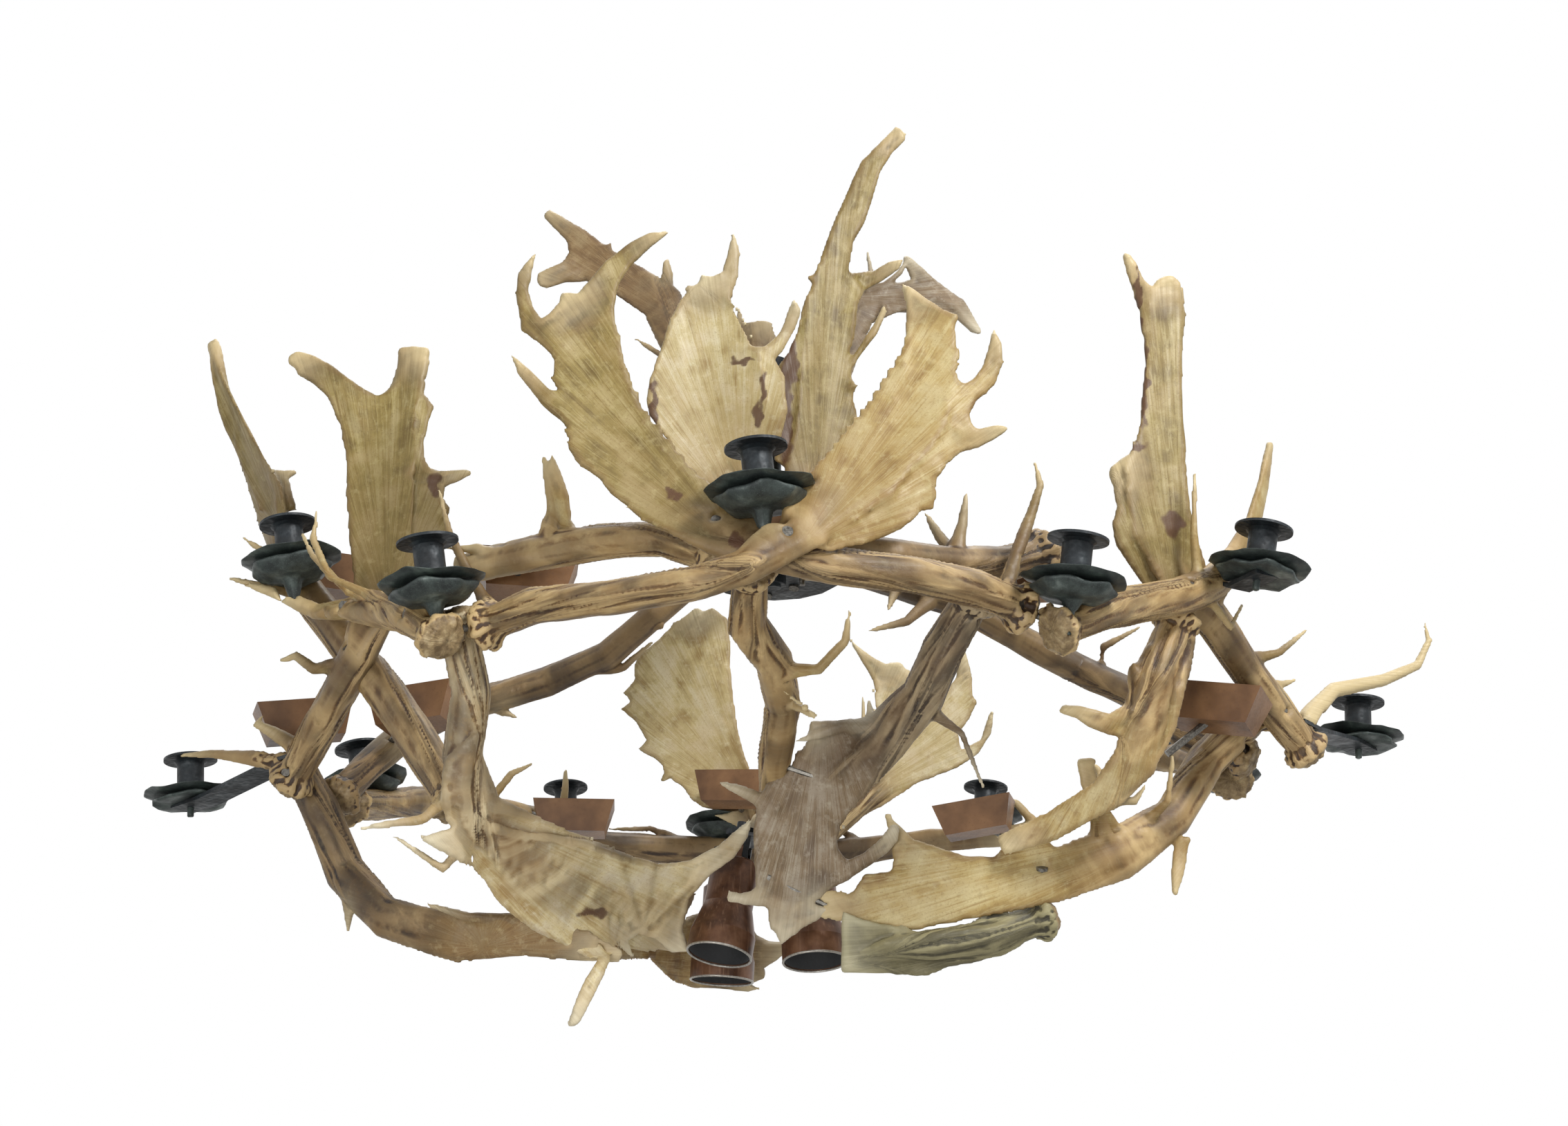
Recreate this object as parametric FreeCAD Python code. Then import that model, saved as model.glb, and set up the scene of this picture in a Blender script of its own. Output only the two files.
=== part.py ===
import FreeCAD, Part
import math
import os

# Antler chandelier: shed palmed antlers screwed into a ring with a bowl below and a crown above,
# with candle cups, drip pans, brown light boxes and three aimable copper downlights.
# Millimetres, +Z up, +X to the right, +Y away from the viewer.
# The origin is the middle of the hanging eye; the shapes are drawn about the ring and moved there last.

V = FreeCAD.Vector

# ---- driving sizes ------------------------------------------------------------
CLEAR = 0.3            # gap left between pieces that touch or fit together
# antlers
BURR_D = 64.0          # coronet at the butt of each antler
BURR_H = 13.0          # length of the coronet along the beam
BUTT_D = 46.0          # pale sawn or cast face under the coronet
TIP_D = 5.0            # blunt point of a tine
SECTION_STEP = 82.0    # spacing of the sections along a beam
TINE_STEP = 55.0       # and along a tine
BEAM_SIDES = 8         # facets round a beam or palm
TINE_SIDES = 5         # facets round a tine
# candle cups
CUP_D = 34.0           # tube of a candle cup
CUP_H = 54.0           # from drip pan to rim
SOCKET_D = 22.4        # bore for the candle sleeve
SOCKET_DEPTH = 44.0
FLANGE_D = 68.0        # domed collar round the mouth
FLANGE_T = 9.0
# drip pans
PAN_D = 120.0
PAN_H = 11.0
PAN_T = 3.0            # hammered sheet
PAN_FLAT_D = 46.0      # flat middle that the cup stands on
PAN_SIDES = 14         # hammered, slightly angular rim
# iron seats under the pans
SEAT_D = 58.0
SEAT_FOOT_D = 34.0     # where a seat stands on its antler
SEAT_H = 28.0
STUD_D = 9.0           # threaded studs and lag screws
STUD_L = 30.0
# strap arms of the two outermost holders
STRAP_W = 34.0
STRAP_T = 5.0
# brown sheet light boxes
BOX_L = 118.0          # length and width at the open top
BOX_W = 62.0
BOX_H = 46.0
BOX_TAPER = 0.78       # bottom to top
BOX_T = 2.0
BOX_LAMP_D = 30.0
BOX_LAMP_H = 24.0
# copper downlights
SPOT_MOUTH_D = 80.0
SPOT_NECK_D = 60.0
SPOT_COLLAR_H = 26.0   # straight collar at the mouth
SPOT_CONE_H = 36.0
SPOT_NECK_H = 58.0
SPOT_T = 2.0
LAMP_D = 50.0
LAMP_SETBACK = 46.0    # lamp face above the mouth
LUG_W = 10.0
LUG_D = 24.0
PIN_D = 8.0
FORK_T = 7.0
FORK_STEM_D = 16.0
# hanging rod, eye plate and hub
ROD_D = 20.0
HUB_D = 190.0
HUB_T = 8.0
HUB_Z = 224.0          # under side of the hub plate
ROD_TOP_Z = 500.0
EYE_D = 62.0           # outside of the eye plate
EYE_T = 14.0
EYE_BORE = 26.0
AXIS_X = 12.0          # hanging axis behind the crown
AXIS_Y = 55.0
NUT_D = 34.0
NUT_H = 14.0
SCREW_D = 8.0
SCREW_HEAD_D = 15.0
SCREW_HEAD_H = 4.0
SCREW_BITE = 8.0       # how far a lag screw runs past the middle of the second antler
SPIDER_W = 28.0        # flat bars that carry the downlights
SPIDER_T = 6.0
SPIDER_Z = -176.0      # under side of the bars
ANTLERS = {
    "antler_front_left_palm": dict(
        face=(0,-1,0.25), cup=0.1,
        beam=[(280, -490, -25, 0, 0), (235, -520, -15, 36, 36), (165, -560, -15, 36, 34),
              (75, -585, -15, 38, 34), (-15, -580, 15, 62, 28), (-100, -560, 75, 92, 15),
              (-170, -545, 165, 100, 11), (-195, -535, 240, 86, 9), (-195, -530, 290, 72, 8),
              (-210, -530, 330, 52, 7)],
        tines=[(20, [(270, -495, -10), (285, -490, 40), (305, -480, 95), (315, -480, 125), (310, -475, 155)]),
               (34, [(-185, -535, 300), (-175, -530, 350), (-155, -530, 395), (-110, -525, 425)]),
               (26, [(-235, -535, 270), (-265, -535, 295), (-275, -535, 340), (-260, -535, 390)]),
               (26, [(-195, -540, 180), (-235, -545, 200), (-280, -545, 255)]),
               (16, [(-175, -550, 120), (-210, -550, 140)]),
               (20, [(-215, -530, 305), (-225, -530, 340)])]),
    "antler_front_right_palm": dict(
        face=(0,-1,0.25), cup=0.1,
        beam=[(-295, -490, -45, 0, 0), (-245, -520, -35, 34, 36), (-160, -570, -45, 32, 34),
              (-70, -610, -45, 30, 33), (-15, -620, -30, 36, 32), (45, -610, 20, 64, 24),
              (105, -595, 85, 92, 14), (160, -575, 165, 94, 10), (190, -560, 250, 68, 8),
              (190, -555, 305, 48, 7)],
        tines=[(22, [(-285, -490, -30), (-310, -445, 0), (-355, -440, 85), (-370, -435, 140)]),
               (20, [(-245, -525, -35), (-205, -560, -40), (-160, -575, -55)]),
               (28, [(205, -565, 190), (245, -560, 205), (265, -560, 240), (260, -560, 280)]),
               (26, [(205, -570, 155), (235, -565, 145), (270, -565, 155)]),
               (22, [(180, -555, 285), (160, -555, 340)]),
               (30, [(170, -575, 90), (190, -580, 65)]),
               (30, [(135, -585, 55), (150, -590, 25)])]),
    "antler_left_palm": dict(
        face=(-0.35,-1,0.2), cup=0.1,
        beam=[(-575, -150, -120, 0, 0), (-545, -185, -80, 42, 38), (-510, -240, -45, 40, 36),
              (-475, -300, -10, 46, 32), (-450, -330, 40, 62, 20), (-450, -340, 115, 84, 12),
              (-455, -340, 195, 96, 10), (-460, -335, 260, 94, 9), (-435, -335, 320, 46, 8),
              (-430, -330, 370, 36, 8)],
        tines=[(24, [(-585, -145, -100), (-635, -130, -90), (-690, -115, -80), (-730, -105, -80)]),
               (22, [(-495, -280, -20), (-535, -265, -20), (-560, -255, 0), (-580, -250, -5)]),
               (40, [(-480, -335, 245), (-515, -335, 310), (-555, -335, 340), (-580, -330, 360)]),
               (24, [(-430, -335, 200), (-390, -335, 195), (-350, -335, 205)]),
               (16, [(-430, -335, 280), (-400, -335, 290)]),
               (40, [(-420, -335, 155), (-375, -335, 150)]),
               (20, [(-570, -160, -90), (-595, -185, -75), (-615, -190, -65), (-610, -190, -55)])]),
    "antler_left_spike": dict(
        face=(-1,-0.45,0.1), cup=0.06,
        beam=[(-350, -345, -200, 0, 0), (-390, -315, -135, 44, 38), (-440, -280, -60, 48, 36),
              (-500, -255, 15, 48, 34), (-555, -235, 85, 48, 30), (-600, -205, 155, 52, 22),
              (-620, -195, 220, 104, 14), (-640, -195, 260, 92, 11), (-670, -200, 325, 62, 9),
              (-695, -210, 380, 40, 8), (-715, -215, 440, 12, 6)],
        tines=[(16, [(-630, -195, 245), (-590, -215, 260)]),
               (22, [(-545, -240, 75), (-585, -285, 75), (-635, -305, 80)]),
               (20, [(-575, -220, 115), (-620, -195, 155), (-655, -190, 180)])]),
    "antler_left_fan": dict(
        face=(-0.3,-0.5,1), cup=0.1,
        beam=[(-350, -500, -60, 0, 0), (-375, -480, -35, 46, 38), (-415, -420, -5, 52, 34),
              (-465, -355, 25, 62, 24), (-520, -300, 40, 44, 14)],
        tines=[(30, [(-470, -345, 15), (-525, -310, 35), (-585, -300, 65), (-640, -295, 85)]),
               (22, [(-380, -470, -30), (-440, -415, 15), (-495, -400, 45), (-520, -390, 95),
                    (-520, -385, 135)]),
               (16, [(-425, -400, 15), (-475, -390, 30), (-525, -370, 85), (-540, -365, 115)])]),
    "antler_right_palm": dict(
        face=(0.35,-1,0.2), cup=0.1,
        beam=[(670, -130, -75, 0, 0), (635, -160, -40, 42, 38), (590, -205, 0, 42, 36),
              (545, -255, 45, 46, 34), (505, -300, 70, 70, 24), (475, -330, 130, 88, 12),
              (470, -335, 200, 82, 10), (485, -335, 280, 54, 9), (495, -335, 355, 42, 9),
              (500, -335, 425, 54, 8), (505, -335, 460, 38, 7)],
        tines=[(28, [(665, -135, -55), (720, -110, 5), (790, -90, 25), (840, -75, 50), (860, -70, 85),
                    (860, -60, 115)]),
               (20, [(580, -210, 10), (635, -195, 25), (675, -180, 60)]),
               (22, [(485, -335, 435), (470, -335, 460), (450, -340, 500)]),
               (30, [(445, -335, 190), (420, -335, 205)]),
               (16, [(530, -265, 50), (560, -275, 80), (585, -280, 105)]),
               (14, [(625, -170, -15), (660, -165, 0)])]),
    "antler_right_spike": dict(
        face=(1,-0.45,0.1), cup=0.06,
        beam=[(330, -495, -50, 0, 0), (375, -465, -20, 42, 36), (430, -405, 10, 40, 36),
              (485, -360, 35, 42, 34), (530, -320, 65, 40, 30), (570, -285, 110, 40, 22),
              (600, -260, 165, 38, 14), (620, -250, 225, 30, 11), (635, -245, 285, 10, 7)],
        tines=[(16, [(405, -435, -5), (385, -450, 10), (365, -460, -5)]),
               (18, [(515, -335, 50), (510, -350, 120), (515, -355, 195)]),
               (14, [(525, -320, 45), (555, -300, 20), (575, -285, 55)])]),
    "antler_right_inner": dict(
        face=(0,-0.3,1), cup=0.1,
        beam=[(600, -85, -75, 0, 0), (540, -65, -40, 38, 38), (485, 0, 35, 44, 36),
              (420, 30, 80, 42, 35), (345, 0, 110, 40, 34), (265, -35, 145, 42, 33),
              (185, -40, 170, 52, 28), (125, -25, 195, 50, 26), (55, 20, 220, 46, 24)],
        tines=[(22, [(220, -45, 155), (185, -75, 110), (135, -80, 95)]),
               (16, [(175, -50, 165), (160, -90, 120)]),
               (20, [(450, 25, 70), (450, 10, 105), (500, 0, 130)]),
               (16, [(420, 30, 65), (455, 30, 50)])]),
    "antler_left_inner": dict(
        face=(0,-0.3,1), cup=0.1,
        beam=[(-530, -75, -120, 0, 0), (-475, 10, -20, 40, 38), (-390, 80, 50, 42, 36),
              (-295, 80, 80, 42, 35), (-210, 40, 105, 40, 33), (-140, -20, 145, 44, 30),
              (-95, -20, 185, 46, 26), (-45, 25, 220, 42, 24)],
        tines=[(20, [(-250, 60, 85), (-190, 50, 90), (-150, 30, 120)]),
               (14, [(-160, 0, 125), (-135, -20, 125)]),
               (16, [(-380, 90, 50), (-335, 85, 30)])]),
    "antler_centre_drop": dict(
        face=(0.3,-1,0), cup=0.1,
        beam=[(-10, -545, -10, 0, 0), (-15, -475, -40, 42, 38), (15, -410, -60, 42, 36),
              (25, -330, -85, 36, 35), (15, -245, -125, 36, 34), (15, -180, -155, 36, 30),
              (5, -100, -165, 38, 28), (0, -60, -160, 38, 26)],
        tines=[(22, [(20, -400, -75), (65, -410, -70), (95, -420, -40), (100, -425, -5)]),
               (12, [(25, -345, -85), (60, -380, -115), (25, -395, -90)])]),
    "antler_back_left_palm": dict(
        face=(0.1,-1,0.5), cup=0.1,
        beam=[(-50, -535, 15, 0, 0), (-105, -505, 50, 38, 36), (-180, -470, 60, 44, 32),
              (-245, -440, 60, 44, 30), (-300, -425, 55, 40, 28), (-345, -420, 45, 34, 24)],
        tines=[(34, [(-235, -445, 65), (-235, -445, 110), (-250, -445, 175)]),
               (18, [(-290, -425, 55), (-325, -435, 65), (-360, -440, 65)])]),
    "antler_back_right_palm": dict(
        face=(-0.1,-1,0.5), cup=0.1,
        beam=[(315, -420, 65, 0, 0), (275, -440, 45, 38, 36), (215, -480, 30, 36, 34),
              (145, -540, 15, 32, 32), (80, -555, 20, 32, 28)],
        tines=[(24, [(210, -480, 30), (225, -485, 75), (230, -490, 110)]),
               (20, [(220, -475, 30), (200, -465, 70), (185, -460, 100)])]),
    "antler_crown_front": dict(
        face=(0,-1,0.25), cup=0.16,
        beam=[(-25, -10, 255, 0, 0), (-35, -25, 280, 56, 34), (-45, -40, 305, 92, 22),
              (-55, -60, 345, 124, 12), (-75, -75, 415, 156, 10), (-70, -80, 480, 132, 9),
              (-80, -85, 550, 90, 8), (-85, -90, 595, 48, 7)],
        tines=[(28, [(-65, -85, 570), (-45, -90, 610), (-40, -90, 645), (-45, -90, 675)]),
               (30, [(-25, -80, 465), (20, -80, 505), (40, -85, 575)]),
               (14, [(-85, -85, 585), (-85, -90, 610)])]),
    "antler_crown_spike": dict(
        face=(0.45,-1,0.15), cup=0.14,
        beam=[(40, 20, 255, 0, 0), (50, 25, 290, 52, 34), (60, 30, 340, 88, 22),
              (85, 30, 415, 100, 14), (85, 30, 500, 86, 12), (85, 30, 585, 70, 12),
              (90, 30, 665, 54, 13), (115, 30, 765, 34, 14), (150, 30, 860, 26, 13),
              (195, 30, 920, 12, 8)],
        tines=[(16, [(90, 30, 640), (125, 45, 685), (155, 60, 700)]),
               (20, [(110, 30, 500), (130, 35, 505)]),
               (26, [(105, 30, 435), (140, 35, 415)]),
               (12, [(180, 30, 895), (205, 30, 915)]),
               (12, [(80, 25, 660), (60, 20, 670)])]),
    "antler_crown_back_left": dict(
        face=(-0.3,-1,0.3), cup=0.1,
        beam=[(-45, 90, 250, 0, 0), (-60, 110, 320, 42, 36), (-85, 150, 445, 42, 34),
              (-110, 200, 585, 46, 32), (-160, 240, 745, 64, 20), (-225, 245, 795, 66, 14),
              (-275, 250, 830, 68, 12), (-300, 250, 870, 36, 10), (-345, 250, 910, 14, 7)],
        tines=[(22, [(-275, 250, 815), (-315, 245, 795), (-350, 245, 790)]),
               (12, [(-245, 245, 820), (-245, 245, 855)]),
               (14, [(-165, 240, 770), (-150, 240, 795), (-155, 235, 820)]),
               (12, [(-150, 225, 630), (-200, 230, 680)])]),
    "antler_crown_back_right": dict(
        face=(0.3,-1,0.3), cup=0.1,
        beam=[(45, 100, 250, 0, 0), (50, 115, 325, 42, 36), (60, 150, 435, 42, 34),
              (90, 200, 570, 46, 30), (140, 240, 730, 54, 20), (205, 245, 760, 56, 14),
              (255, 250, 775, 46, 12), (295, 250, 750, 30, 9), (325, 250, 700, 10, 6)],
        tines=[(16, [(250, 250, 780), (225, 245, 810), (215, 245, 830)]),
               (14, [(160, 240, 755), (205, 240, 800), (215, 240, 820)]),
               (12, [(165, 240, 770), (160, 245, 805), (155, 245, 840)]),
               (14, [(115, 225, 630), (160, 230, 690), (180, 230, 740)])]),
    "antler_crown_back": dict(
        face=(0,1,0.3), cup=0.1,
        beam=[(0, 140, 255, 0, 0), (-10, 170, 345, 42, 36), (-15, 230, 485, 46, 34),
              (-20, 300, 630, 64, 26), (-20, 320, 715, 76, 12), (-25, 325, 755, 66, 9)],
        tines=[(20, [(-40, 320, 725), (-45, 330, 785)]),
               (14, [(-10, 320, 715), (0, 330, 750)])]),
    "antler_bowl_left": dict(
        face=(-0.1,-1,-0.3), cup=0.1,
        beam=[(-335, -455, -35, 0, 0), (-320, -435, -105, 40, 38), (-330, -410, -170, 42, 36),
              (-315, -380, -225, 54, 30), (-260, -300, -260, 106, 16), (-200, -215, -280, 124, 11),
              (-145, -135, -280, 108, 9), (-100, -85, -285, 82, 8)],
        tines=[(26, [(-180, -190, -315), (-185, -210, -365), (-205, -220, -400), (-220, -225, -435)]),
               (20, [(-310, -360, -250), (-350, -375, -290), (-405, -385, -255)]),
               (14, [(-315, -370, -235), (-345, -375, -260), (-375, -380, -255)]),
               (28, [(-130, -100, -220), (-50, -160, -215), (-15, -190, -185)]),
               (22, [(-345, -395, -205), (-370, -400, -240), (-440, -395, -250)])]),
    "antler_bowl_lower_left": dict(
        face=(-0.1,-1,-0.3), cup=0.1,
        beam=[(-580, -105, -95, 0, 0), (-550, -110, -145, 42, 38), (-510, -110, -230, 46, 36),
              (-450, -150, -295, 44, 32), (-355, -200, -330, 54, 18), (-275, -215, -330, 50, 12),
              (-205, -205, -340, 36, 9), (-165, -195, -350, 16, 7)],
        tines=[(20, [(-505, -110, -240), (-500, -120, -275), (-500, -125, -305)]),
               (22, [(-290, -215, -315), (-340, -220, -310), (-390, -225, -295)])]),
    "antler_bowl_front": dict(
        face=(0.1,-1,0.1), cup=0.1,
        beam=[(235, -465, -10, 0, 0), (205, -410, -45, 44, 38), (185, -355, -85, 48, 36),
              (145, -305, -115, 60, 30), (75, -240, -150, 98, 18), (40, -205, -215, 92, 12),
              (35, -195, -270, 68, 10), (25, -190, -320, 32, 8)],
        tines=[(26, [(150, -310, -110), (95, -290, -100), (40, -280, -115)]),
               (14, [(125, -300, -110), (125, -300, -70)]),
               (24, [(15, -225, -175), (-25, -230, -160), (-50, -230, -150)]),
               (20, [(15, -195, -265), (-20, -200, -285), (-40, -200, -275)]),
               (16, [(190, -350, -95), (230, -330, -120), (255, -310, -180)])]),
    "antler_bowl_right": dict(
        face=(0.3,-1,-0.2), cup=0.1,
        beam=[(615, -120, -30, 0, 0), (550, -120, -90, 46, 38), (500, -150, -170, 46, 36),
              (425, -190, -225, 60, 28), (340, -215, -260, 62, 18), (240, -215, -285, 54, 12),
              (160, -205, -300, 44, 10), (110, -200, -295, 38, 8), (65, -190, -285, 34, 8)],
        tines=[(26, [(410, -200, -215), (400, -215, -170), (390, -225, -120)]),
               (30, [(200, -210, -260), (160, -215, -235), (150, -220, -185)]),
               (16, [(455, -180, -190), (485, -200, -165), (495, -210, -100)])]),
    "antler_bowl_small_right": dict(
        face=(0.2,-1,0), cup=0.1,
        beam=[(485, -320, 15, 0, 0), (455, -330, -55, 42, 36), (445, -325, -100, 56, 26),
              (430, -315, -150, 48, 20), (395, -300, -185, 40, 14), (335, -270, -215, 36, 10),
              (280, -245, -230, 24, 8)],
        tines=[(26, [(430, -325, -95), (390, -330, -110), (350, -335, -90)]),
               (16, [(440, -330, -70), (430, -345, -40)]),
               (14, [(395, -300, -190), (430, -290, -190), (445, -290, -170)])]),
    "antler_bowl_bottom": dict(
        face=(0,-0.4,-1), cup=0.1,
        beam=[(325, -185, -305, 0, 0), (265, -200, -330, 36, 36), (200, -205, -340, 40, 30),
              (150, -195, -345, 44, 18), (120, -180, -350, 32, 10)],
        tines=[(16, [(275, -195, -325), (315, -190, -315), (350, -185, -310)]),
               (16, [(240, -200, -320), (275, -190, -300), (265, -185, -285)]),
               (14, [(160, -205, -325), (175, -190, -295)])]),
    "antler_back_left_drop": dict(
        face=(-0.1,-1,0), cup=0.1,
        beam=[(10, 560, -25, 0, 0), (-10, 550, 20, 60, 32), (-65, 550, 60, 96, 16),
              (-110, 545, 120, 120, 10), (-140, 540, 195, 134, 10), (-150, 540, 265, 124, 9),
              (-120, 540, 315, 76, 8), (-100, 540, 350, 38, 7)],
        tines=[(18, [(-195, 540, 235), (-225, 540, 215)]),
               (20, [(-195, 540, 185), (-230, 540, 190)]),
               (20, [(-175, 545, 135), (-200, 545, 125)]),
               (18, [(-150, 550, 95), (-165, 550, 75)])]),
    "antler_back_right_drop": dict(
        face=(0.1,-1,0), cup=0.1,
        beam=[(75, 550, -20, 0, 0), (130, 540, 35, 46, 32), (195, 535, 95, 96, 16),
              (220, 535, 150, 114, 10), (210, 535, 205, 94, 9), (195, 535, 240, 66, 8)],
        tines=[(36, [(260, 535, 150), (300, 535, 215), (310, 535, 285)]),
               (26, [(195, 535, 230), (160, 535, 270), (135, 535, 295)]),
               (16, [(280, 535, 160), (325, 535, 205)]),
               (14, [(185, 535, 105), (150, 535, 170), (150, 535, 210)])]),
    "antler_back_lower": dict(
        face=(0,-0.6,-1), cup=0.1,
        beam=[(-330, 520, -20, 0, 0), (-245, 560, -25, 44, 34), (-120, 590, -25, 46, 32),
              (10, 600, -25, 46, 30), (150, 590, -25, 46, 26), (255, 565, -15, 42, 22),
              (360, 530, -20, 32, 14)],
        tines=[(14, [(150, 585, -20), (110, 580, 10), (75, 575, 25)]),
               (16, [(-120, 585, -20), (-180, 570, 5), (-245, 555, 0)])]),
    "antler_back_left_ring": dict(
        face=(-0.3,-0.6,1), cup=0.1,
        beam=[(-530, -20, -120, 0, 0), (-520, 105, -85, 40, 36), (-485, 250, -40, 42, 36),
              (-420, 350, -20, 42, 34), (-360, 440, -10, 44, 28), (-310, 500, 5, 46, 22),
              (-260, 540, 10, 38, 14)],
        tines=[(16, [(-410, 360, -10), (-375, 370, 35), (-345, 370, 50)]),
               (20, [(-305, 470, -5), (-305, 465, 35), (-305, 465, 70)])]),
    "antler_back_right_ring": dict(
        face=(0.3,-0.6,1), cup=0.1,
        beam=[(595, -40, -90, 0, 0), (600, 95, -45, 40, 36), (590, 230, 15, 42, 36),
              (540, 310, 45, 42, 34), (495, 400, 15, 42, 28), (425, 480, -10, 46, 20),
              (355, 525, -15, 36, 14)],
        tines=[(16, [(500, 380, 15), (490, 380, 45), (475, 380, 60)]),
               (16, [(410, 490, -5), (380, 495, 25), (360, 495, 35)])]),
}

# ---- positions of the fittings -------------------------------------------------
# candle holders: the antler that carries it, the middle of the pan's under side, and its lean
HOLDERS = {
    "front": ("antler_front_right_palm", (1, -613, 58), (-0.10, -0.06, 1)),
    "left_front": ("antler_left_fan", (-563, -306, 99), (-0.16, -0.02, 1)),
    "left_low": ("antler_left_fan", (-356, -518, -12), (-0.16, -0.10, 1)),
    "right_low": ("antler_right_spike", (341, -517, -9), (0.14, -0.12, 1)),
    "left_back": ("antler_back_left_ring", (-540, 116, -52), (-0.20, 0.05, 1)),
    "back_left": ("antler_back_lower", (-310, 545, 14), (-0.06, 0.10, 1)),
    "back_right": ("antler_back_lower", (335, 545, 14), (0.08, 0.08, 1)),
    "back": ("antler_back_lower", (-70, 596, 14), (0.02, 0.10, 1)),
}
UPPER = ("front", "left_front", "right_front", "left_back", "right_back", "right_out")
# the other holders stand on bent strap arms: antler, inner end, middle of the pan, lean
ARMS = {
    "left_out": ("antler_left_palm", (-600, -130, -88), (-740, 0, -105), (-0.10, 0.0, 1)),
    "right_out": ("antler_right_palm", (680, -125, -45), (775, 0, -27), (0.08, 0.0, 1)),
    "right_front": ("antler_right_palm", (545, -290, 40), (580, -360, 69), (0.20, -0.05, 1)),
    "right_back": ("antler_back_right_ring", (575, 262, 30), (654, 312, 13), (0.12, 0.06, 1)),
}
# light boxes: antler that carries it, middle of the open top, the way it faces up, turn about that
BOXES = {
    "light_box_left_out": ("antler_bowl_lower_left", (-579, -115, -16), (-0.15, -0.1, 1), 18),
    "light_box_left_inner": ("antler_left_inner", (-441, -70, 13), (0, 0.1, 1), -20),
    "light_box_left_front": ("antler_left_spike", (-539, -150, 164), (0.1, 0, 1), 10),
    "light_box_left_low": ("antler_back_left_palm", (-273, -365, 80), (0, 0.1, 1), 8),
    "light_box_front": ("antler_back_right_palm", (60, -515, 89), (0.2, 0.1, 1), -15),
    "light_box_right_low": ("antler_back_right_palm", (311, -345, 89), (0, 0.1, 1), -4),
    "light_box_right_out": ("antler_bowl_right", (554, -212, -31), (0.25, 0, 1), -25),
    "light_box_back": ("antler_back_left_drop", (-44, 475, 63), (0.1, 0, 1), -20),
    "light_box_back_left": ("antler_back_left_ring", (-282, 380, -8), (0, 0, 1), 4),
    "light_box_back_right": ("antler_back_right_ring", (311, 455, 13), (-0.12, 0, 1), -14),
}
# copper downlights: pivot of the knuckle, lean of the fork about Y, tilt of the barrel about its pin
SPOTS = {
    "left": ((-30, -90, -199), 9.6, -8.6),
    "back": ((-45, -4, -206), 3.0, 2.0),
    "right": ((58, -94, -205), -2.5, -7.0),
}
SPIDER_CENTRE = (5, -60)
# pairs of antlers drawn together by a lag screw, and a point near their crossing
CROSSINGS = [
    ("antler_front_right_palm", "antler_front_left_palm", (33, -595, 6)),
    ("antler_front_left_palm", "antler_centre_drop", (0, -555, -8)),
    ("antler_front_left_palm", "antler_back_left_palm", (-55, -561, 18)),
    ("antler_front_left_palm", "antler_bowl_front", (262, -480, -24)),
    ("antler_bowl_front", "antler_back_right_palm", (216, -474, 15)),
    ("antler_front_left_palm", "antler_right_spike", (306, -497, -34)),
    ("antler_front_right_palm", "antler_left_fan", (-320, -498, -52)),
    ("antler_left_palm", "antler_left_spike", (-463, -289, -23)),
    ("antler_left_fan", "antler_left_palm", (-457, -334, 29)),
    ("antler_left_fan", "antler_bowl_left", (-362, -470, -30)),
    ("antler_right_spike", "antler_right_palm", (560, -315, 60)),
    ("antler_right_spike", "antler_bowl_small_right", (498, -335, 25)),
    ("antler_right_palm", "antler_bowl_right", (628, -141, -34)),
    ("antler_bowl_right", "antler_right_inner", (608, -86, -58)),
    ("antler_left_palm", "antler_bowl_lower_left", (-563, -120, -125)),
    ("antler_back_left_ring", "antler_left_inner", (-531, 10, -85)),
    ("antler_right_inner", "antler_back_right_ring", (616, -30, -72)),
    ("antler_bowl_front", "antler_bowl_right", (70, -196, -275)),
    ("antler_bowl_front", "antler_centre_drop", (30, -238, -127)),
    ("antler_bowl_left", "antler_bowl_lower_left", (-242, -208, -326)),
    ("antler_bowl_right", "antler_bowl_bottom", (338, -208, -290)),
    ("antler_back_lower", "antler_back_left_ring", (-279, 524, -20)),
    ("antler_back_lower", "antler_back_right_ring", (362, 536, -16)),
    ("antler_back_lower", "antler_back_left_drop", (20, 585, -18)),
    ("antler_back_lower", "antler_back_right_drop", (75, 580, -18)),
]


# ---- small helpers ---------------------------------------------------------------
def unit(v):
    v = V(v)
    return v / v.Length


def polyhedron(rings):
    """A closed solid with flat facets through rings that have as many points each."""
    faces = [Part.Face(Part.makePolygon(ring + ring[:1])) for ring in (rings[0], rings[-1])]
    for low, high in zip(rings, rings[1:]):
        n = len(low)
        for k in range(n):
            m = (k + 1) % n
            for corners in ((low[k], low[m], high[m]), (low[k], high[m], high[k])):
                if (corners[1] - corners[0]).cross(corners[2] - corners[0]).Length > 1e-6:
                    faces.append(Part.Face(Part.makePolygon(list(corners) + [corners[0]])))
    solid = Part.makeSolid(Part.makeShell(faces))
    if solid.Volume < 0:
        solid.reverse()
    return solid


def stack(levels, sides):
    """Regular rings of the given radius and height, one above the other, about the Z axis."""
    rings = []
    for r, z in levels:
        rings.append([V(r * math.cos(2 * math.pi * k / sides), r * math.sin(2 * math.pi * k / sides), z)
                      for k in range(sides)])
    return polyhedron(rings)


def turned(profile):
    """A round piece from its half section in radius and height."""
    points = [V(r, 0, z) for r, z in profile]
    face = Part.Face(Part.makePolygon(points + points[:1]))
    return face.revolve(V(0, 0, 0), V(0, 0, 1), 360)


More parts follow.
